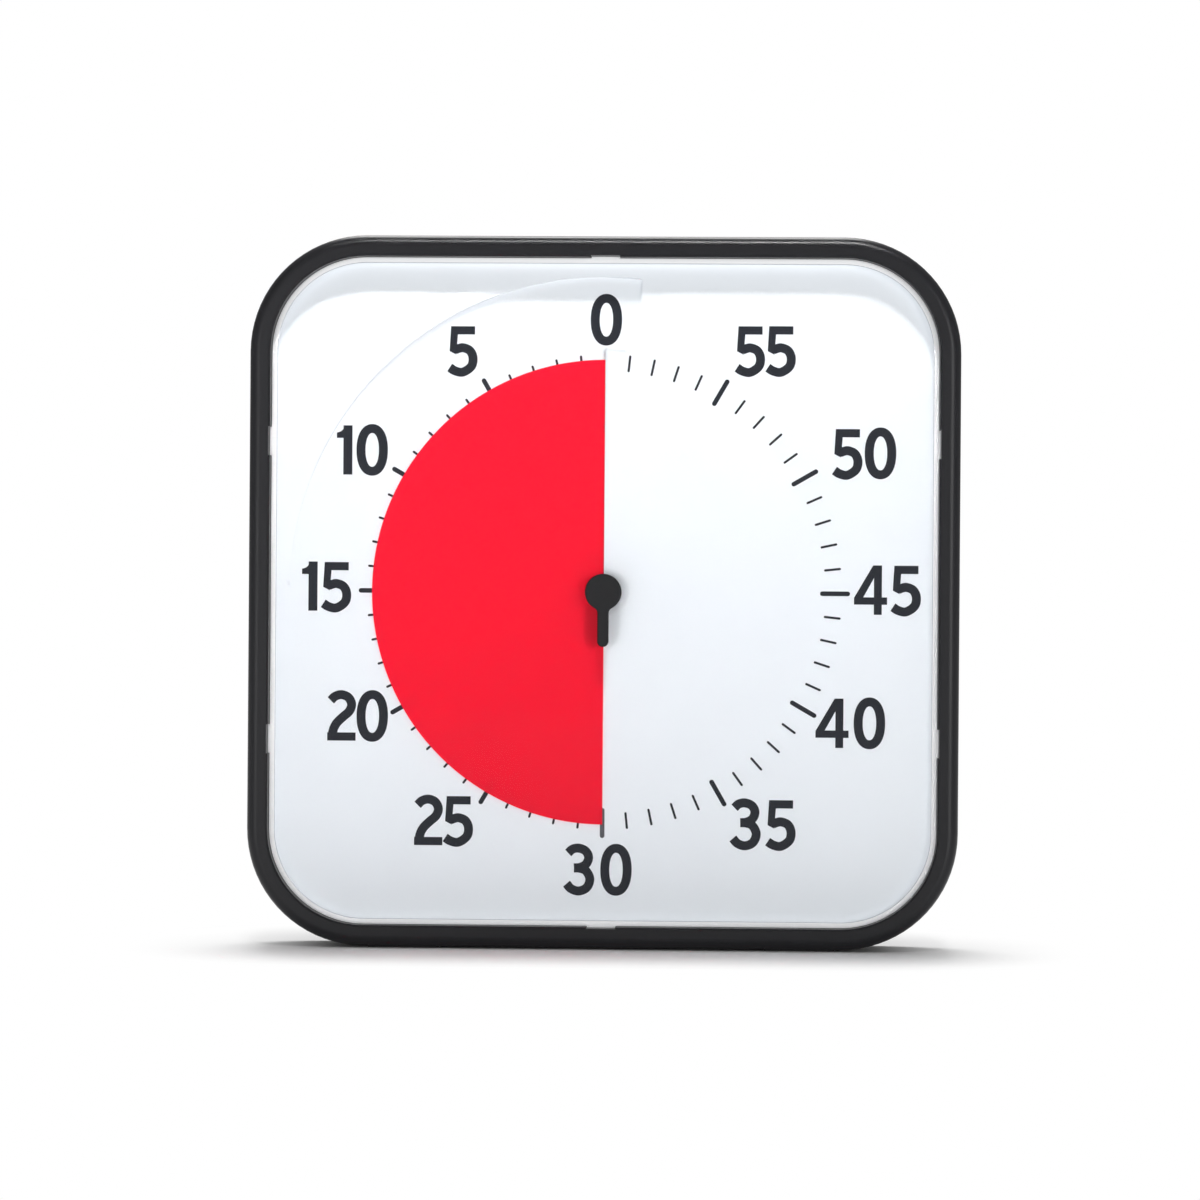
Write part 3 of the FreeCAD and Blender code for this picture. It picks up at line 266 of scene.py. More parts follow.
def recess_edge(radius, size):
    """The recess's right edge as an angle at each radius: its step angle, rounded at both corners.

    Within a corner's radius of the lip or of the outer wall the edge bends away by the corner's
    radius less its circle's height there.
    """
    low = np.clip(size.lip_radius + size.step_round - radius, 0, size.step_round)
    high = np.clip(radius - size.ramp_radius + size.corner_round, 0, size.corner_round)
    bend = (size.step_round - np.sqrt(size.step_round ** 2 - low ** 2)
            + size.corner_round - np.sqrt(size.corner_round ** 2 - high ** 2))
    return -size.step_angle + bend / radius


def dial_surface(size):
    """The dial as polar patches: spiral, lip, recess, recess walls and flat rim."""
    skin = Skin()
    lip, top, foot = size.lip_radius, size.ramp_radius, size.ramp_foot
    inside = spaced((size.dial_hole, foot - 0.004, 20), (foot - 0.004, lip, 8))
    outside = spaced((lip, lip + size.step_round, 8),
                     (lip + size.step_round, top - size.corner_round, 18),
                     (top - size.corner_round, top, 6))
    radii = np.concatenate([inside, outside[1:]])
    stop = math.tau - size.step_angle
    turn = np.linspace(0, stop, 354)
    lip_turn = np.linspace(stop, math.tau, 8)

    def patch(radius, angle, level):
        """Points at a level behind the flat rim."""
        x, z = polar(radius, angle)
        return world_points(x, size.dial_station + level, z, size)

    def ramp(radius, angle):
        """The spiral over a grid of radii and angles."""
        radius, angle = np.meshgrid(radius, angle, indexing="ij")
        return patch(radius, angle, ramp_level(radius, angle, size))

    skin.grid(ramp(radii, turn))
    skin.grid(ramp(inside, lip_turn))
    share = np.linspace(0, 1, 12)[None, :]
    edge = recess_edge(outside, size)[:, None]
    radius = outside[:, None]
    skin.grid(patch(radius, edge * (1 - share), size.lead))
    angle = stop + (edge + size.step_angle) * share
    skin.grid(patch(radius, angle, ramp_level(radius, angle, size)))
    # the wall between the recess and the plate on its right, and the lip's wall
    depth = np.linspace(0, 1, 4)[None, :]
    level = ramp_level(radius, edge + math.tau, size)
    skin.grid(patch(radius, edge, level + (size.lead - level) * depth))
    corner_angle = recess_edge(np.array([lip]), size)[0]
    arc = (corner_angle * (1 - share)).T
    level = ramp_level(lip, arc + math.tau, size)
    skin.grid(patch(lip, arc, level + (size.lead - level) * depth))
    # the outer wall, which leans out by the draft and runs out at the end of the sweep
    outer_corner = recess_edge(np.array([top]), size)[0]

    def wall_share(angle):
        """The part of its full height that the outer wall has at an angle."""
        return np.clip(1 - np.maximum(angle, 0) / size.ramp_sweep, 0, 1)

    def lean(angle):
        """How far the wall's top leans out: the draft, started within a hundredth of a radian."""
        return size.draft * wall_share(angle) * np.clip((angle - outer_corner) / 0.01, 0, 1)

    before = np.linspace(outer_corner, 0, 24)[:-1]
    wall_angle = np.concatenate([before, turn[turn < size.ramp_sweep]])[:, None]
    skin.grid(patch(top + lean(wall_angle) * (1 - depth), wall_angle,
                    size.lead * wall_share(wall_angle) * depth))
    # the flat rim out to the plate's edge
    rim_angle = np.concatenate([before, turn,
                                stop + (outer_corner + size.step_angle) * share[0, 1:]])
    start = (top + lean(rim_angle))[:, None]
    end = square_reach(rim_angle, size.dial_half, size.dial_corner)[:, None]
    across = np.linspace(0, 1, 6)[None, :]
    skin.grid(patch(start + (end - start) * across, rim_angle[:, None], 0), flip=True)
    return skin


class TIMER_OT_dial(bpy.types.Operator):
    """White plate with the spiral ramp, the slit at 0 and the recess round the 0."""

    bl_idname = "timer.dial"
    bl_label = "Dial"

    def execute(self, context):
        size, looks = context.scene.timer_size, context.scene.timer_looks
        dial = dial_surface(size).make("dial_face", "housing", sharp=40)
        wall = dial.modifiers.new("Wall", "SOLIDIFY")
        wall.thickness = size.dial_thick
        wall.offset = 1
        dial.data.materials.append(plastic("dial_white", looks.white, rough=0.5, mottle=0.012,
                                           grain=2600, bump=0.03))
        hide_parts("dial_plate")
        return {"FINISHED"}


# print


UNITS = 49.3
HALF_STROKE = 4.5
# strokes are lines through points, loops are ovals, bands lie between two lines; a figure stands
# on 0 and is 49.3 units tall
FIGURES = {
    "0": (31.0, [("loop", (15.5, 24.65, 11.2, 21.35))]),
    "1": (15.5, [("stroke", ((11.1, 0), (11.1, 49.3))),
                 ("band", ((0, 42.0), (3.0, 42.9), (5.4, 44.4), (7.3, 47.2), (8.2, 49.3)),
                  ((0, 36.7), (2.0, 36.7), (4.2, 36.7), (6.6, 36.7), (8.2, 36.7)))]),
    "2": (28.4, [("stroke", ((3.3, 40.2), (7.6, 44.3), (14.1, 46.0), (20.9, 43.2), (24.1, 36.6),
                             (21.9, 29.6), (15.6, 23.8), (9.6, 17.9), (6.2, 11.4), (4.9, 4.0))),
                 ("band", ((0, 8.2), (28.4, 8.2)), ((0, 0), (28.4, 0)))]),
    "3": (31.0, [("stroke", ((4.8, 41.2), (9.0, 45.0), (15.4, 46.1), (22.2, 43.3), (25.2, 37.1),
                             (22.7, 30.3), (16.6, 26.9), (10.6, 26.4))),
                 ("stroke", ((10.6, 26.3), (16.4, 26.1), (22.6, 23.6), (26.6, 15.6), (23.6, 7.0),
                             (15.7, 3.4), (8.0, 5.6), (3.3, 10.6)))]),
    "4": (33.0, [("band", ((19.8, 49.3), (19.8, 0)), ((27.7, 49.3), (27.7, 0))),
                 ("band", ((0, 17.4), (33, 17.4)), ((0, 10.1), (33, 10.1))),
                 ("band", ((0, 16.8), (18.9, 49.3)), ((9.1, 17.2), (26.8, 49.3)))]),
    "5": (30.0, [("band", ((3.4, 48.9), (27.4, 48.9)), ((3.0, 40.7), (27.4, 40.7))),
                 ("band", ((3.4, 48.9), (2.0, 24.0)), ((10.9, 48.9), (8.7, 20.5))),
                 ("stroke", ((7.6, 25.2), (11.5, 26.7), (15.9, 27.3), (22.4, 24.4), (25.5, 17.4),
                             (23.8, 8.8), (15.4, 3.0), (7.6, 4.2), (2.2, 7.5)))]),
}
# each figure's middle on the dial, in millimetres from the dial's centre
NUMERALS = {
    "0": (("0", 0.2, 117.3),),
    "5": (("5", -61.7, 103.7),),
    "10": (("1", -112.3, 60.5), ("0", -100.4, 60.6)),
    "15": (("1", -126.9, 1.7), ("5", -115.5, 1.7)),
    "20": (("2", -112.7, -54.2), ("0", -99.5, -54.1)),
    "25": (("2", -74.9, -98.9), ("5", -62.1, -98.8)),
    "30": (("3", -9.9, -119.5), ("0", 6.1, -119.4)),
    "35": (("3", 61.5, -99.4), ("5", 76.7, -99.3)),
    "40": (("4", 98.5, -55.6), ("0", 114.5, -55.5)),
    "45": (("4", 114.6, 1.7), ("5", 129.7, 1.8)),
    "50": (("5", 104.2, 60.3), ("0", 118.4, 60.4)),
    "55": (("5", 62.1, 104.2), ("5", 75.3, 104.3)),
}


def smooth_line(points, count):
    """A line through points: on each span the cubic whose slopes are half the neighbours' chord."""
    points = np.asarray(points, float)
    if len(points) == 2:
        return points[0] + (points[1] - points[0]) * np.linspace(0, 1, count)[:, None]
    padded = np.vstack([2 * points[0] - points[1], points, 2 * points[-1] - points[-2]])
    place = np.linspace(0, len(points) - 1, count)
    span = np.minimum(place.astype(int), len(points) - 2)
    t = (place - span)[:, None]
    p0, p1, p2, p3 = (padded[span + k] for k in range(4))
    return 0.5 * (2 * p1 + (p2 - p0) * t + (2 * p0 - 5 * p1 + 4 * p2 - p3) * t ** 2
                  + (3 * p1 - p0 - 3 * p2 + p3) * t ** 3)


def figure_sheets(parts):
    """The sheets of a figure as point grids in its own units.

    A stroke and a loop are offset to both sides of their line by half the stroke's width; a loop
    is an oval whose halves' sizes are powers of the sine and cosine, a little squarer than an
    ellipse. A band is ruled between its two lines.
    """
    across = np.linspace(0, 1, 5)[None, :, None]
    for kind, *data in parts:
        if kind == "band":
            near, far = (smooth_line(line, 25) for line in data)
        else:
            if kind == "loop":
                x, z, half_x, half_z = data[0]
                turn = np.linspace(0, math.tau, 97)
                c, s = np.cos(turn), np.sin(turn)
                line = np.stack([x + half_x * np.sign(c) * np.abs(c) ** 0.9,
                                 z + half_z * np.sign(s) * np.abs(s) ** 0.9], axis=-1)
            else:
                line = smooth_line(data[0], 64)
            slope = np.gradient(line, axis=0)
            if kind == "loop":
                slope[0] = slope[-1] = (0, 1)
            slope /= np.linalg.norm(slope, axis=1, keepdims=True)
            side = np.stack([slope[:, 1], -slope[:, 0]], axis=-1) * HALF_STROKE
            near, far = line + side, line - side
        yield near[:, None] + (far - near)[:, None] * across


def towards_front(points):
    """Whether a grid's first quad faces the front, as printed sheets do."""
    along, across = points[1, 0] - points[0, 0], points[0, 1] - points[0, 0]
    return np.cross(across, along)[1] < 0


class TIMER_OT_numerals(bpy.types.Operator):
    """The twelve numbers, printed on the dial's own surface."""

    bl_idname = "timer.numerals"
    bl_label = "Numbers"

    def execute(self, context):
        size, ink = context.scene.timer_size, context.scene.timer_print
        material = plastic("print_ink", context.scene.timer_looks.ink, rough=0.5, mottle=0.08,
                           grain=3000, bump=0.02, shine=0.25)
        scale = ink.cap_height / UNITS
        for text, figures in NUMERALS.items():
            skin = Skin()
            for figure, x, z in figures:
                width, parts = FIGURES[figure]
                for layer, sheet in enumerate(figure_sheets(parts)):
                    flat_x = x / 1000 + (sheet[..., 0] - width / 2) * scale
                    flat_z = z / 1000 + (sheet[..., 1] - UNITS / 2) * scale
                    station = face_station(flat_x, flat_z, size) - ink.lift * (1 + layer / 4)
                    points = world_points(flat_x, station, flat_z, size)
                    skin.grid(points, flip=not towards_front(points))
            number = skin.make(f"number_{text}", "housing")
            number.data.materials.append(material)
        return {"FINISHED"}


def minute_line(minute, inner, outer, width, ink, size):
    """A radial line with round ends: its half width is the end circle's height near each end."""
    half = width / 2
    ends = np.sin(np.linspace(0, math.pi / 2, 6))
    middle = np.linspace(inner + half, outer - half, 8)[1:-1]
    along = np.concatenate([inner + half * (1 - ends[::-1]), middle, outer - half + half * ends])
    from_end = np.maximum(np.maximum(inner + half - along, along - outer + half), 0)
    reach = np.sqrt(np.maximum(half ** 2 - from_end ** 2, 0))
    side = np.linspace(-1, 1, 3)[None, :] * reach[:, None]
    turn = math.radians(6 * minute)
    x = -along[:, None] * math.sin(turn) + side * math.cos(turn)
    z = along[:, None] * math.cos(turn) + side * math.sin(turn)
    return world_points(x, face_station(x, z, size) - ink.lift, z, size)


class TIMER_OT_minute_lines(bpy.types.Operator):
    """The lines at the minutes, wider at every five; the slit takes the place of the first."""

    bl_idname = "timer.minute_lines"
    bl_label = "Minute lines"

    def execute(self, context):
        size, ink = context.scene.timer_size, context.scene.timer_print
        looks = context.scene.timer_looks
        groups = {
            "minute_lines": ([m for m in range(1, 60) if m % 5], looks.ink),
            "five_minute_lines": ([m for m in range(5, 60, 5) if m != 30], looks.ink),
            "thirty_minute_line": ([30], looks.pale_ink),
        }
        for name, (minutes, shade) in groups.items():
            skin = Skin()
            major = name != "minute_lines"
            inner, outer, width = ((ink.major_inner, ink.major_outer, ink.major_width) if major
                                   else (ink.minor_inner, ink.minor_outer, ink.minor_width))
            for minute in minutes:
                points = minute_line(minute, inner, outer, width, ink, size)
                skin.grid(points, flip=not towards_front(points[5:]))
            lines = skin.make(name, "housing")
            lines.data.materials.append(plastic("ink_" + name, shade, rough=0.5, mottle=0.08,
                                                grain=3000, bump=0.02, shine=0.25))
        return {"FINISHED"}


# the disc


class TIMER_OT_disc(bpy.types.Operator):
    """The red film: one turn of a screw surface with the dial's lead, half of it wound out."""

    bl_idname = "timer.disc"
    bl_label = "Red disc"

    def execute(self, context):
        size = context.scene.timer_size
        angle = np.linspace(-math.pi, math.pi, 361)[:, None]
        across = np.linspace(size.disc_inner, size.disc_outer, 25)
        radius = np.concatenate([across, across[::-1]])[None, :]
        front = np.concatenate([np.ones(25), np.zeros(25)])[None, :] * size.disc_thick
        x, z = polar(radius, angle)
        back = size.dial_station + size.lead * (1 - angle / math.tau) - size.disc_gap
        points = world_points(x, back - front, z, size)
        skin = Skin()
        skin.grid(points, close=True)
        for row, flip in ((0, True), (-1, False)):
            ends = np.stack([points[row, :25], points[row, :24:-1]])
            skin.grid(ends, flip=flip)
        film = skin.make("disc_film", "disc", sharp=40)
        film.data.materials.append(film_finish(context.scene.timer_looks.red))
        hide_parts("red_disc")
        return {"FINISHED"}


# the window


TAB_STEP = 0.00002


def frame_ring(size):
    """Points round the frame: the foot on its core line, the outward direction, and where tabs are.

    The core line is a square. A foot stays at one of its corners while the direction turns by a
    quarter, and then runs along a side. Moving out from each foot by one distance gives a square
    with round corners, whatever the distance. A tab's flank takes one small step along the side.
    """
    core = size.frame_half - size.frame_corner
    inner = [size.tab_half, size.tab_spread - size.tab_half, size.tab_spread + size.tab_half]
    flanks = np.array(inner) + (TAB_STEP, -TAB_STEP, TAB_STEP)
    stops = np.concatenate([inner, flanks, np.linspace(0, core, 24)[1:-1]])
    along = np.unique(np.concatenate([-stops, stops, [0.0]]))
    feet, outs, tabs = [], [], []
    for side in range(4):
        angle = side * math.pi / 2
        out = np.array([math.cos(angle), math.sin(angle)])
        way = np.array([-out[1], out[0]])
        feet.append(out * core + way * along[:, None])
        outs.append(np.broadcast_to(out, (len(along), 2)))
        place = np.abs(along) if side % 2 else np.abs(np.abs(along) - size.tab_spread)
        tabs.append(place < size.tab_half + TAB_STEP / 2)
        turn = angle + np.linspace(0, math.pi / 2, 33)
        feet.append(np.broadcast_to((out + way) * core, (33, 2)))
        outs.append(np.stack([np.cos(turn), np.sin(turn)], axis=-1))
        tabs.append(np.zeros(33, bool))
    return np.concatenate(feet), np.concatenate(outs), np.concatenate(tabs)


def frame_sweep(insets, stations, size):
    """A profile of insets from the frame's outline and stations, carried round the frame."""
    feet, outs, tabs = frame_ring(size)
    insets = np.broadcast_to(insets, (len(feet), len(stations)))
    flat = feet[:, None] + outs[:, None] * (size.frame_corner - insets)[..., None]
    return world_points(flat[..., 0], np.asarray(stations)[None, :], flat[..., 1], size)


def closed_rows(points):
    """A grid whose last row is its first again."""
    return np.concatenate([points, points[:1]])


class TIMER_OT_window(bpy.types.Operator):
    """The clear window: a pane with its hole, the rim that stands on the dial with a painted glow, six
    tabs, and a grey rim line of painted shade.
    """

    bl_idname = "timer.window"
    bl_label = "Window"

    def execute(self, context):
        size = context.scene.timer_size
        front, back = size.lens_station, size.lens_station + size.lens_thick
        inner = size.rail + size.lens_gap + size.lens_skirt
        feet, outs, tabs = frame_ring(size)
        outer = np.where(tabs, size.rail - size.tab_reach, size.rail + size.lens_gap)[:, None]
        # pane: both faces, from the hole to the rim
        turn = np.linspace(0, math.tau, 361)
        edge = square_reach(turn, size.frame_half - inner, size.frame_corner - inner)
        share = np.linspace(0, 1, 8)[None, :]
        radius = size.lens_hole + (edge[:, None] - size.lens_hole) * share
        radius = np.concatenate([radius, radius[:, ::-1]], axis=1)
        x, z = polar(radius, turn[:, None])
        station = np.repeat([front, back], 8)[None, :]
        skin = Skin()
        skin.grid(world_points(x, station, z, size), close=True)
        pane = skin.make("window_pane", "housing")
        pane.data.materials.append(window_finish())
        # rim: a small round at its outer front edge, and the skirt down to the dial
        base, edge = size.dial_station - size.rim_rest, size.lens_round
        inside = np.full_like(outer, inner)
        insets = np.concatenate([outer, outer, outer + edge / 3, outer + edge, inside, inside], axis=1)
        stations = [base, front + edge, front + edge / 3, front, front, base]
        skin = Skin()
        skin.grid(closed_rows(frame_sweep(insets, stations, size)), close=True)
        rim = skin.make("window_rim", "housing")
        # the rim glows at 0.16: painted light, an emission of its own white
        rim.data.materials.append(rim_finish("window_rim", (0.96, 0.97, 0.985), 0.16))
        # the rim line: a grey sheet laid on the window's front along the rim's inner edge, painted shade
        # where the rim meets the window
        skin = Skin()
        line = frame_sweep([inner, inner + size.lens_line], [front - size.line_lift] * 2, size)
        skin.grid(closed_rows(line))
        shade = skin.make("rim_line_painted_shade", "housing")
        shade.data.materials.append(rim_finish("rim_line_painted_shade", (0.6, 0.62, 0.66), 0.0))
        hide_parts("clear_lens")
        return {"FINISHED"}


# materials


def tree(name):
    """An empty material: itself, its nodes, links and output, and the place on the object."""
    material = bpy.data.materials.new(name)
    material.use_nodes = True
    nodes = material.node_tree.nodes
    nodes.clear()
    output = nodes.new("ShaderNodeOutputMaterial")
    place = nodes.new("ShaderNodeTexCoord").outputs["Object"]
    return material, nodes, material.node_tree.links, output, place


def noise(nodes, links, place, scale, detail=3.0):
    """A noise texture's value over the place."""
    texture = nodes.new("ShaderNodeTexNoise")
    texture.inputs["Scale"].default_value = scale
    texture.inputs["Detail"].default_value = detail
    links.new(place, texture.inputs["Vector"])
    return texture.outputs["Fac"]


def spread(nodes, links, source, low, high):
    """The source's middle range stretched between two values."""
    mapped = nodes.new("ShaderNodeMapRange")
    mapped.inputs["From Min"].default_value = 0.3
    mapped.inputs["From Max"].default_value = 0.7
    mapped.inputs["To Min"].default_value = low
    mapped.inputs["To Max"].default_value = high
    links.new(source, mapped.inputs["Value"])
    return mapped.outputs["Result"]


def plastic(name, base, rough=0.5, mottle=0.05, grain=1500, bump=0.1, metal=0.0, stretch=None,
            shine=0.5):
    """A moulded or rolled surface: colour and gloss wander slowly, and a fine grain is raised.

    stretch scales the grain's place along each axis, for brushed or drawn metal.
    """
    material, nodes, links, output, place = tree(name)
    if stretch:
        scaled = nodes.new("ShaderNodeVectorMath")
        scaled.operation = "MULTIPLY"
        scaled.inputs[1].default_value = stretch
        links.new(place, scaled.inputs[0])
        place = scaled.outputs["Vector"]
    shader = nodes.new("ShaderNodeBsdfPrincipled")
    shader.inputs["Metallic"].default_value = metal
    shader.inputs["Specular IOR Level"].default_value = shine
    slow = noise(nodes, links, place, 60)
    fine = noise(nodes, links, place, grain, 2)
    shade = nodes.new("ShaderNodeMix")
    shade.data_type = "RGBA"
    shade.blend_type = "MULTIPLY"
    shade.inputs["Factor"].default_value = 1
    shade.inputs["A"].default_value = (*base, 1)
    both = nodes.new("ShaderNodeMath")
    both.operation = "MULTIPLY"
    links.new(spread(nodes, links, slow, 1 - mottle, 1), both.inputs[0])
    links.new(spread(nodes, links, fine, 1 - mottle, 1 + mottle), both.inputs[1])
    links.new(both.outputs["Value"], shade.inputs["B"])
    links.new(shade.outputs["Result"], shader.inputs["Base Color"])
    links.new(spread(nodes, links, slow, rough - 0.02, rough + 0.02), shader.inputs["Roughness"])
    raised = nodes.new("ShaderNodeBump")
    raised.inputs["Strength"].default_value = bump
    raised.inputs["Distance"].default_value = 0.0002
    links.new(fine, raised.inputs["Height"])
    links.new(raised.outputs["Normal"], shader.inputs["Normal"])
    links.new(shader.outputs["BSDF"], output.inputs["Surface"])
    return material


def opened(material):
    """A finished material's nodes, links, surface shader and output."""
    nodes, links = material.node_tree.nodes, material.node_tree.links
    shader = next(n for n in nodes if n.type == "BSDF_PRINCIPLED")
    output = next(n for n in nodes if n.type == "OUTPUT_MATERIAL")
    return nodes, links, shader, output


def mixed(nodes, links, share, first, second, output):
    """Two shaders mixed by a share of the second."""
    mix = nodes.new("ShaderNodeMixShader")
    links.new(share, mix.inputs["Fac"])
    links.new(first, mix.inputs[1])
    links.new(second, mix.inputs[2])
    links.new(mix.outputs["Shader"], output.inputs["Surface"])


def film_finish(base):
    """Thin red film: light passes it to the dial below, whose lines show faintly through.

    A ray crosses both faces of the film, so the shares and the tint are square roots of its own.
    """
    material = plastic("disc_red", base, rough=0.45, mottle=0.02, grain=1800, bump=0.03, shine=0.3)
    nodes, links, shader, output = opened(material)
    through = nodes.new("ShaderNodeBsdfTransparent")
    through.inputs["Color"].default_value = (1, 0.3, 0.38, 1)
    ray = nodes.new("ShaderNodeLightPath")
    share = nodes.new("ShaderNodeMapRange")
    share.inputs["To Min"].default_value = 0.45
    share.inputs["To Max"].default_value = 0.92
    links.new(ray.outputs["Is Shadow Ray"], share.inputs["Value"])
    mixed(nodes, links, share.outputs["Result"], shader.outputs["BSDF"], through.outputs["BSDF"], output)
    return material


def window_finish():
    """Clear moulding: nearly all light passes, with a weak reflection that grows to the edges.

    Only the outer side of each face reflects: a ray inside isn't bent, so it would meet the far
    face as a mirror at a steep angle.
    """
    material, nodes, links, output, place = tree("clear_window")
    clear = nodes.new("ShaderNodeBsdfTransparent")
    clear.inputs["Color"].default_value = (0.985, 0.99, 0.995, 1)
    gloss = nodes.new("ShaderNodeBsdfGlossy")
    gloss.inputs["Color"].default_value = (1, 1, 1, 1)
    smudge = noise(nodes, links, place, 25)
    links.new(spread(nodes, links, smudge, 0.02, 0.06), gloss.inputs["Roughness"])
    edge = nodes.new("ShaderNodeFresnel")
    edge.inputs["IOR"].default_value = 1.12
    side = nodes.new("ShaderNodeNewGeometry")
    outer = nodes.new("ShaderNodeMapRange")
    outer.inputs["To Min"].default_value = 1
    outer.inputs["To Max"].default_value = 0
    links.new(side.outputs["Backfacing"], outer.inputs["Value"])
    share = nodes.new("ShaderNodeMath")
    share.operation = "MULTIPLY"
    links.new(edge.outputs["Fac"], share.inputs[0])
    links.new(outer.outputs["Result"], share.inputs[1])
    mixed(nodes, links, share.outputs["Value"], clear.outputs["BSDF"], gloss.outputs["BSDF"], output)
    return material


def rim_finish(name, base, painted_glow):
    """Frosted clear moulding with a painted glow: it emits its own colour at the given strength, painted
    light standing in for light gathered and passed on by a clear edge.
    """
    material = plastic(name, base, rough=0.3, mottle=0.02, grain=1500, bump=0.03)
    shader = opened(material)[2]
    shader.inputs["Emission Color"].default_value = (*base, 1)
    shader.inputs["Emission Strength"].default_value = painted_glow
    return material


def floor_finish(half_x, half_y, near, far):
    """Pale floor with painted light: past the footprint it glows more and more, which cuts the object's
    shadow short, and turns into the white background away from the object.

    The distance is that of a point outside the footprint: how far its absolute x and y go past
    the footprint's half sizes, as a vector's length.
    """
    material = plastic("floor_pale", (0.94, 0.94, 0.94), 0.6, 0.005, 300, 0.0)
    nodes, links, shader, output = opened(material)
    place = nodes.new("ShaderNodeTexCoord")
    outside = place.outputs["Object"]
    steps = (("ABSOLUTE", None), ("SUBTRACT", (half_x, half_y, 0)), ("MAXIMUM", (0, 0, 0)))
    for operation, value in steps:
        step = nodes.new("ShaderNodeVectorMath")
        step.operation = operation
        links.new(outside, step.inputs[0])
        if value:
            step.inputs[1].default_value = value
        outside = step.outputs["Vector"]
    reach = nodes.new("ShaderNodeVectorMath")
    reach.operation = "LENGTH"
    links.new(outside, reach.inputs[0])
    fade = nodes.new("ShaderNodeMapRange")
    fade.interpolation_type = "SMOOTHSTEP"
    fade.inputs["From Min"].default_value = near
    fade.inputs["From Max"].default_value = far
    links.new(reach.outputs["Value"], fade.inputs["Value"])
    # painted light: white emission that grows from the fade's start to its end, over the shadow beside the
    # foot
    painted_floor_light = nodes.new("ShaderNodeEmission")
    painted_floor_light.inputs["Color"].default_value = (1, 1, 1, 1)
    mixed(nodes, links, fade.outputs["Result"], shader.outputs["BSDF"], painted_floor_light.outputs["Emission"], output)
    return material


class TIMER_OT_finishes(bpy.types.Operator):
    """Materials of the CAD's own pieces."""

    bl_idname = "timer.finishes"
    bl_label = "Finishes"

    def execute(self, context):
        looks = context.scene.timer_looks
        brushed = (1, 1, 14)
        table = [
            (plastic("frame_black", looks.frame, 0.32, 0.03, 2200, 0.06, shine=0.24), ("front_bezel",)),
            (plastic("housing_black", looks.housing, 0.55, 0.08, 1300, 0.25),
             ("rear_housing", "battery_door", "switch_slider")),
            (plastic("knob_black", looks.knob, 0.3, 0.06, 2200, 0.1, shine=0.27), ("knob",)),
            (plastic("hub_white", (0.75, 0.76, 0.78), 0.4, 0.03), ("disc_hub",)),
            (plastic("steel", (0.5, 0.5, 0.52), 0.3, 0.06, 900, 0.1, 1, brushed),
             ("arbor", "case_screws", "movement_screws", "stator", "coil_core")),
            (plastic("movement_black", (0.02, 0.02, 0.022), 0.5, 0.1, 1500, 0.2),
             ("movement_front", "movement_back", "switch_body", "buzzer_case")),
            (plastic("gear_white", (0.72, 0.72, 0.68), 0.35, 0.03),
             ("centre_wheel", "third_wheel", "fourth_wheel", "alarm_cam", "coil_bobbin")),
            (plastic("magnet", (0.1, 0.1, 0.11), 0.35, 0.1, 1200, 0.1, 0.7), ("rotor",)),
            (plastic("copper", (0.72, 0.27, 0.1), 0.3, 0.1, 900, 0.4, 1, (12, 1, 1)),
             ("coil_winding",)),
            (plastic("board_green", (0.02, 0.12, 0.05), 0.4, 0.15, 700, 0.1), ("circuit_board",)),
            (plastic("chip_black", (0.012, 0.012, 0.014), 0.4, 0.1), ("timer_chip",)),
            (plastic("brass", (0.72, 0.5, 0.2), 0.3, 0.08, 900, 0.1, 1, brushed),
             ("clutch_spring", "contact_leaf", "piezo_disc")),
            (plastic("nickel", (0.65, 0.63, 0.6), 0.25, 0.06, 900, 0.08, 1, brushed),
             ("quartz_crystal", "battery_plate", "battery_spring")),
            (plastic("cell_wrap", (0.06, 0.22, 0.5), 0.3, 0.05, 800, 0.04), ("aa_battery",)),
            (plastic("rubber", (0.015, 0.015, 0.016), 0.8, 0.15, 1600, 0.4), ("feet",)),
            (plastic("wire_red", (0.5, 0.01, 0.015), 0.4, 0.05),
             ("battery_lead_red", "buzzer_lead_red")),
            (plastic("wire_black", (0.01, 0.01, 0.011), 0.4, 0.05),
             ("battery_lead_black", "buzzer_lead_black")),
        ]
        for material, names in table:
            for name in names:
                thing = frame["nodes"][name]
                thing.data.materials.clear()
                thing.data.materials.append(material)
        return {"FINISHED"}


# the stage


def area_light(name, place, aim, width, height, watts, spread=math.pi):
    """A rectangular lamp that faces a point and shines over an angle."""
    light = bpy.data.lights.new(name, "AREA")
    light.shape = "RECTANGLE"
    light.size, light.size_y, light.energy, light.spread = width, height, watts, spread
    thing = bpy.data.objects.new(name, light)
    bpy.context.scene.collection.objects.link(thing)
    thing.location = place
    thing.rotation_euler = (Vector(aim) - Vector(place)).to_track_quat("-Z", "Y").to_euler()
    return thing


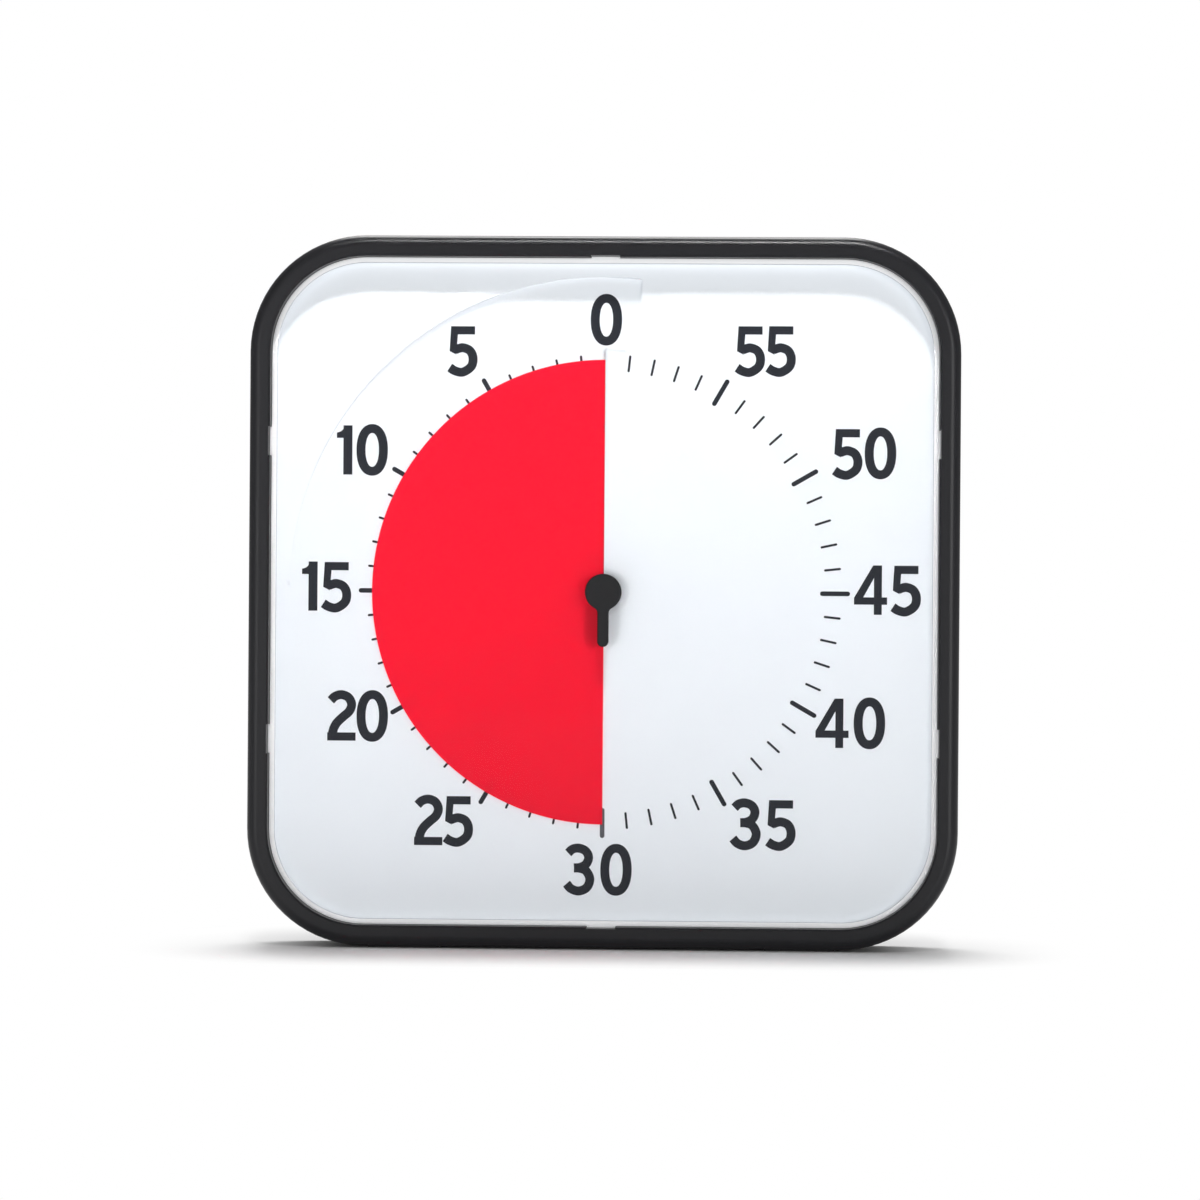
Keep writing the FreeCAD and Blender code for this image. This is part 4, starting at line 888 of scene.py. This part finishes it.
class TIMER_OT_stage(bpy.types.Operator):
    """Pale floor, white background, soft lights and the camera."""

    bl_idname = "timer.stage"
    bl_label = "Stage"

    def execute(self, context):
        scene, size, stage = context.scene, context.scene.timer_size, context.scene.timer_stage
        skin = Skin()
        line = np.linspace(-stage.floor_half, stage.floor_half, 5)
        x, y = np.meshgrid(line, line, indexing="ij")
        skin.grid(np.stack([x, y, np.full_like(x, -stage.floor_drop)], axis=-1))
        floor = skin.make("floor")
        floor.data.materials.append(floor_finish(stage.foot_half, size.depth / 2, stage.fade_near,
                                                 stage.fade_far))
        world = bpy.data.worlds.new("room")
        scene.world = world
        world.use_nodes = True
        nodes, links = world.node_tree.nodes, world.node_tree.links
        nodes.clear()
        ray = nodes.new("ShaderNodeLightPath")
        seen = nodes.new("ShaderNodeMath")
        seen.operation = "MAXIMUM"
        links.new(ray.outputs["Is Camera Ray"], seen.inputs[0])
        links.new(ray.outputs["Is Transmission Ray"], seen.inputs[1])
        strength = nodes.new("ShaderNodeMapRange")
        strength.inputs["To Min"].default_value = stage.world
        strength.inputs["To Max"].default_value = 1
        links.new(seen.outputs["Value"], strength.inputs["Value"])
        back = nodes.new("ShaderNodeBackground")
        back.inputs["Color"].default_value = (1, 1, 1, 1)
        links.new(strength.outputs["Result"], back.inputs["Strength"])
        output = nodes.new("ShaderNodeOutputWorld")
        links.new(back.outputs["Background"], output.inputs["Surface"])
        centre = Vector((0, 0, size.dial_height))
        area_light("key", (1.1, -2.2, 0.14), centre, 0.8, 0.8, stage.key)
        area_light("fill", (-1.1, -2.4, 0.12), centre, 1.2, 0.6, stage.fill)
        area_light("strip", (0.1, -1.05, 2.0), (0, 0, 0.42), 1.2, 0.3, stage.strip,
                   stage.strip_spread)
        area_light("back", (-0.1, 1.1, 2.1), (0, 0, 0), 1.0, 1.0, stage.back)
        camera = bpy.data.cameras.new("camera")
        camera.lens = stage.lens
        camera.sensor_width = 36
        camera.clip_start, camera.clip_end = 0.01, 50
        thing = bpy.data.objects.new("camera", camera)
        scene.collection.objects.link(thing)
        scene.camera = thing
        front = size.dial_station - size.depth / 2
        aim = Vector((stage.aim_x, front, size.dial_height + stage.aim_z))
        back_off = Vector((math.sin(stage.yaw), -math.cos(stage.yaw), 0))
        thing.location = aim + back_off * stage.distance
        level = (-back_off).to_track_quat("-Z", "Y").to_matrix()
        thing.rotation_euler = (level @ Euler((0, 0, stage.roll)).to_matrix()).to_euler()
        scene.view_settings.view_transform = "Standard"
        return {"FINISHED"}


class TIMER_PT_panel(bpy.types.Panel):
    """The steps in order, and the sizes and looks that they use."""

    bl_label = "Countdown timer"
    bl_space_type = "VIEW_3D"
    bl_region_type = "UI"
    bl_category = "Timer"

    def draw(self, context):
        for operator in STEPS:
            self.layout.operator(operator.bl_idname)
        for group in GROUPS:
            box = self.layout.box()
            values = getattr(context.scene, group)
            for name in values.__annotations__:
                box.prop(values, name)


STEPS = (TIMER_OT_dial, TIMER_OT_numerals, TIMER_OT_minute_lines, TIMER_OT_disc, TIMER_OT_window,
         TIMER_OT_finishes, TIMER_OT_stage)
GROUPS = {"timer_size": TimerSize, "timer_print": TimerPrint, "timer_looks": TimerLooks,
          "timer_stage": TimerStage}


def register():
    """The groups, operators and panel, and the scene's own values."""
    for item in (*GROUPS.values(), *STEPS, TIMER_PT_panel):
        bpy.utils.register_class(item)
    for name, group in GROUPS.items():
        setattr(bpy.types.Scene, name, PointerProperty(type=group))


def unregister():
    """Everything that register adds, taken away."""
    for name in GROUPS:
        delattr(bpy.types.Scene, name)
    for item in (TIMER_PT_panel, *reversed(STEPS), *reversed(GROUPS.values())):
        bpy.utils.unregister_class(item)


def main():
    register()
    bpy.ops.timer.dial()
    bpy.ops.timer.numerals()
    bpy.ops.timer.minute_lines()
    bpy.ops.timer.disc()
    bpy.ops.timer.window()
    bpy.ops.timer.finishes()
    bpy.ops.timer.stage()
    bpy.context.view_layer.update()


if __name__ == "__main__":
    main()
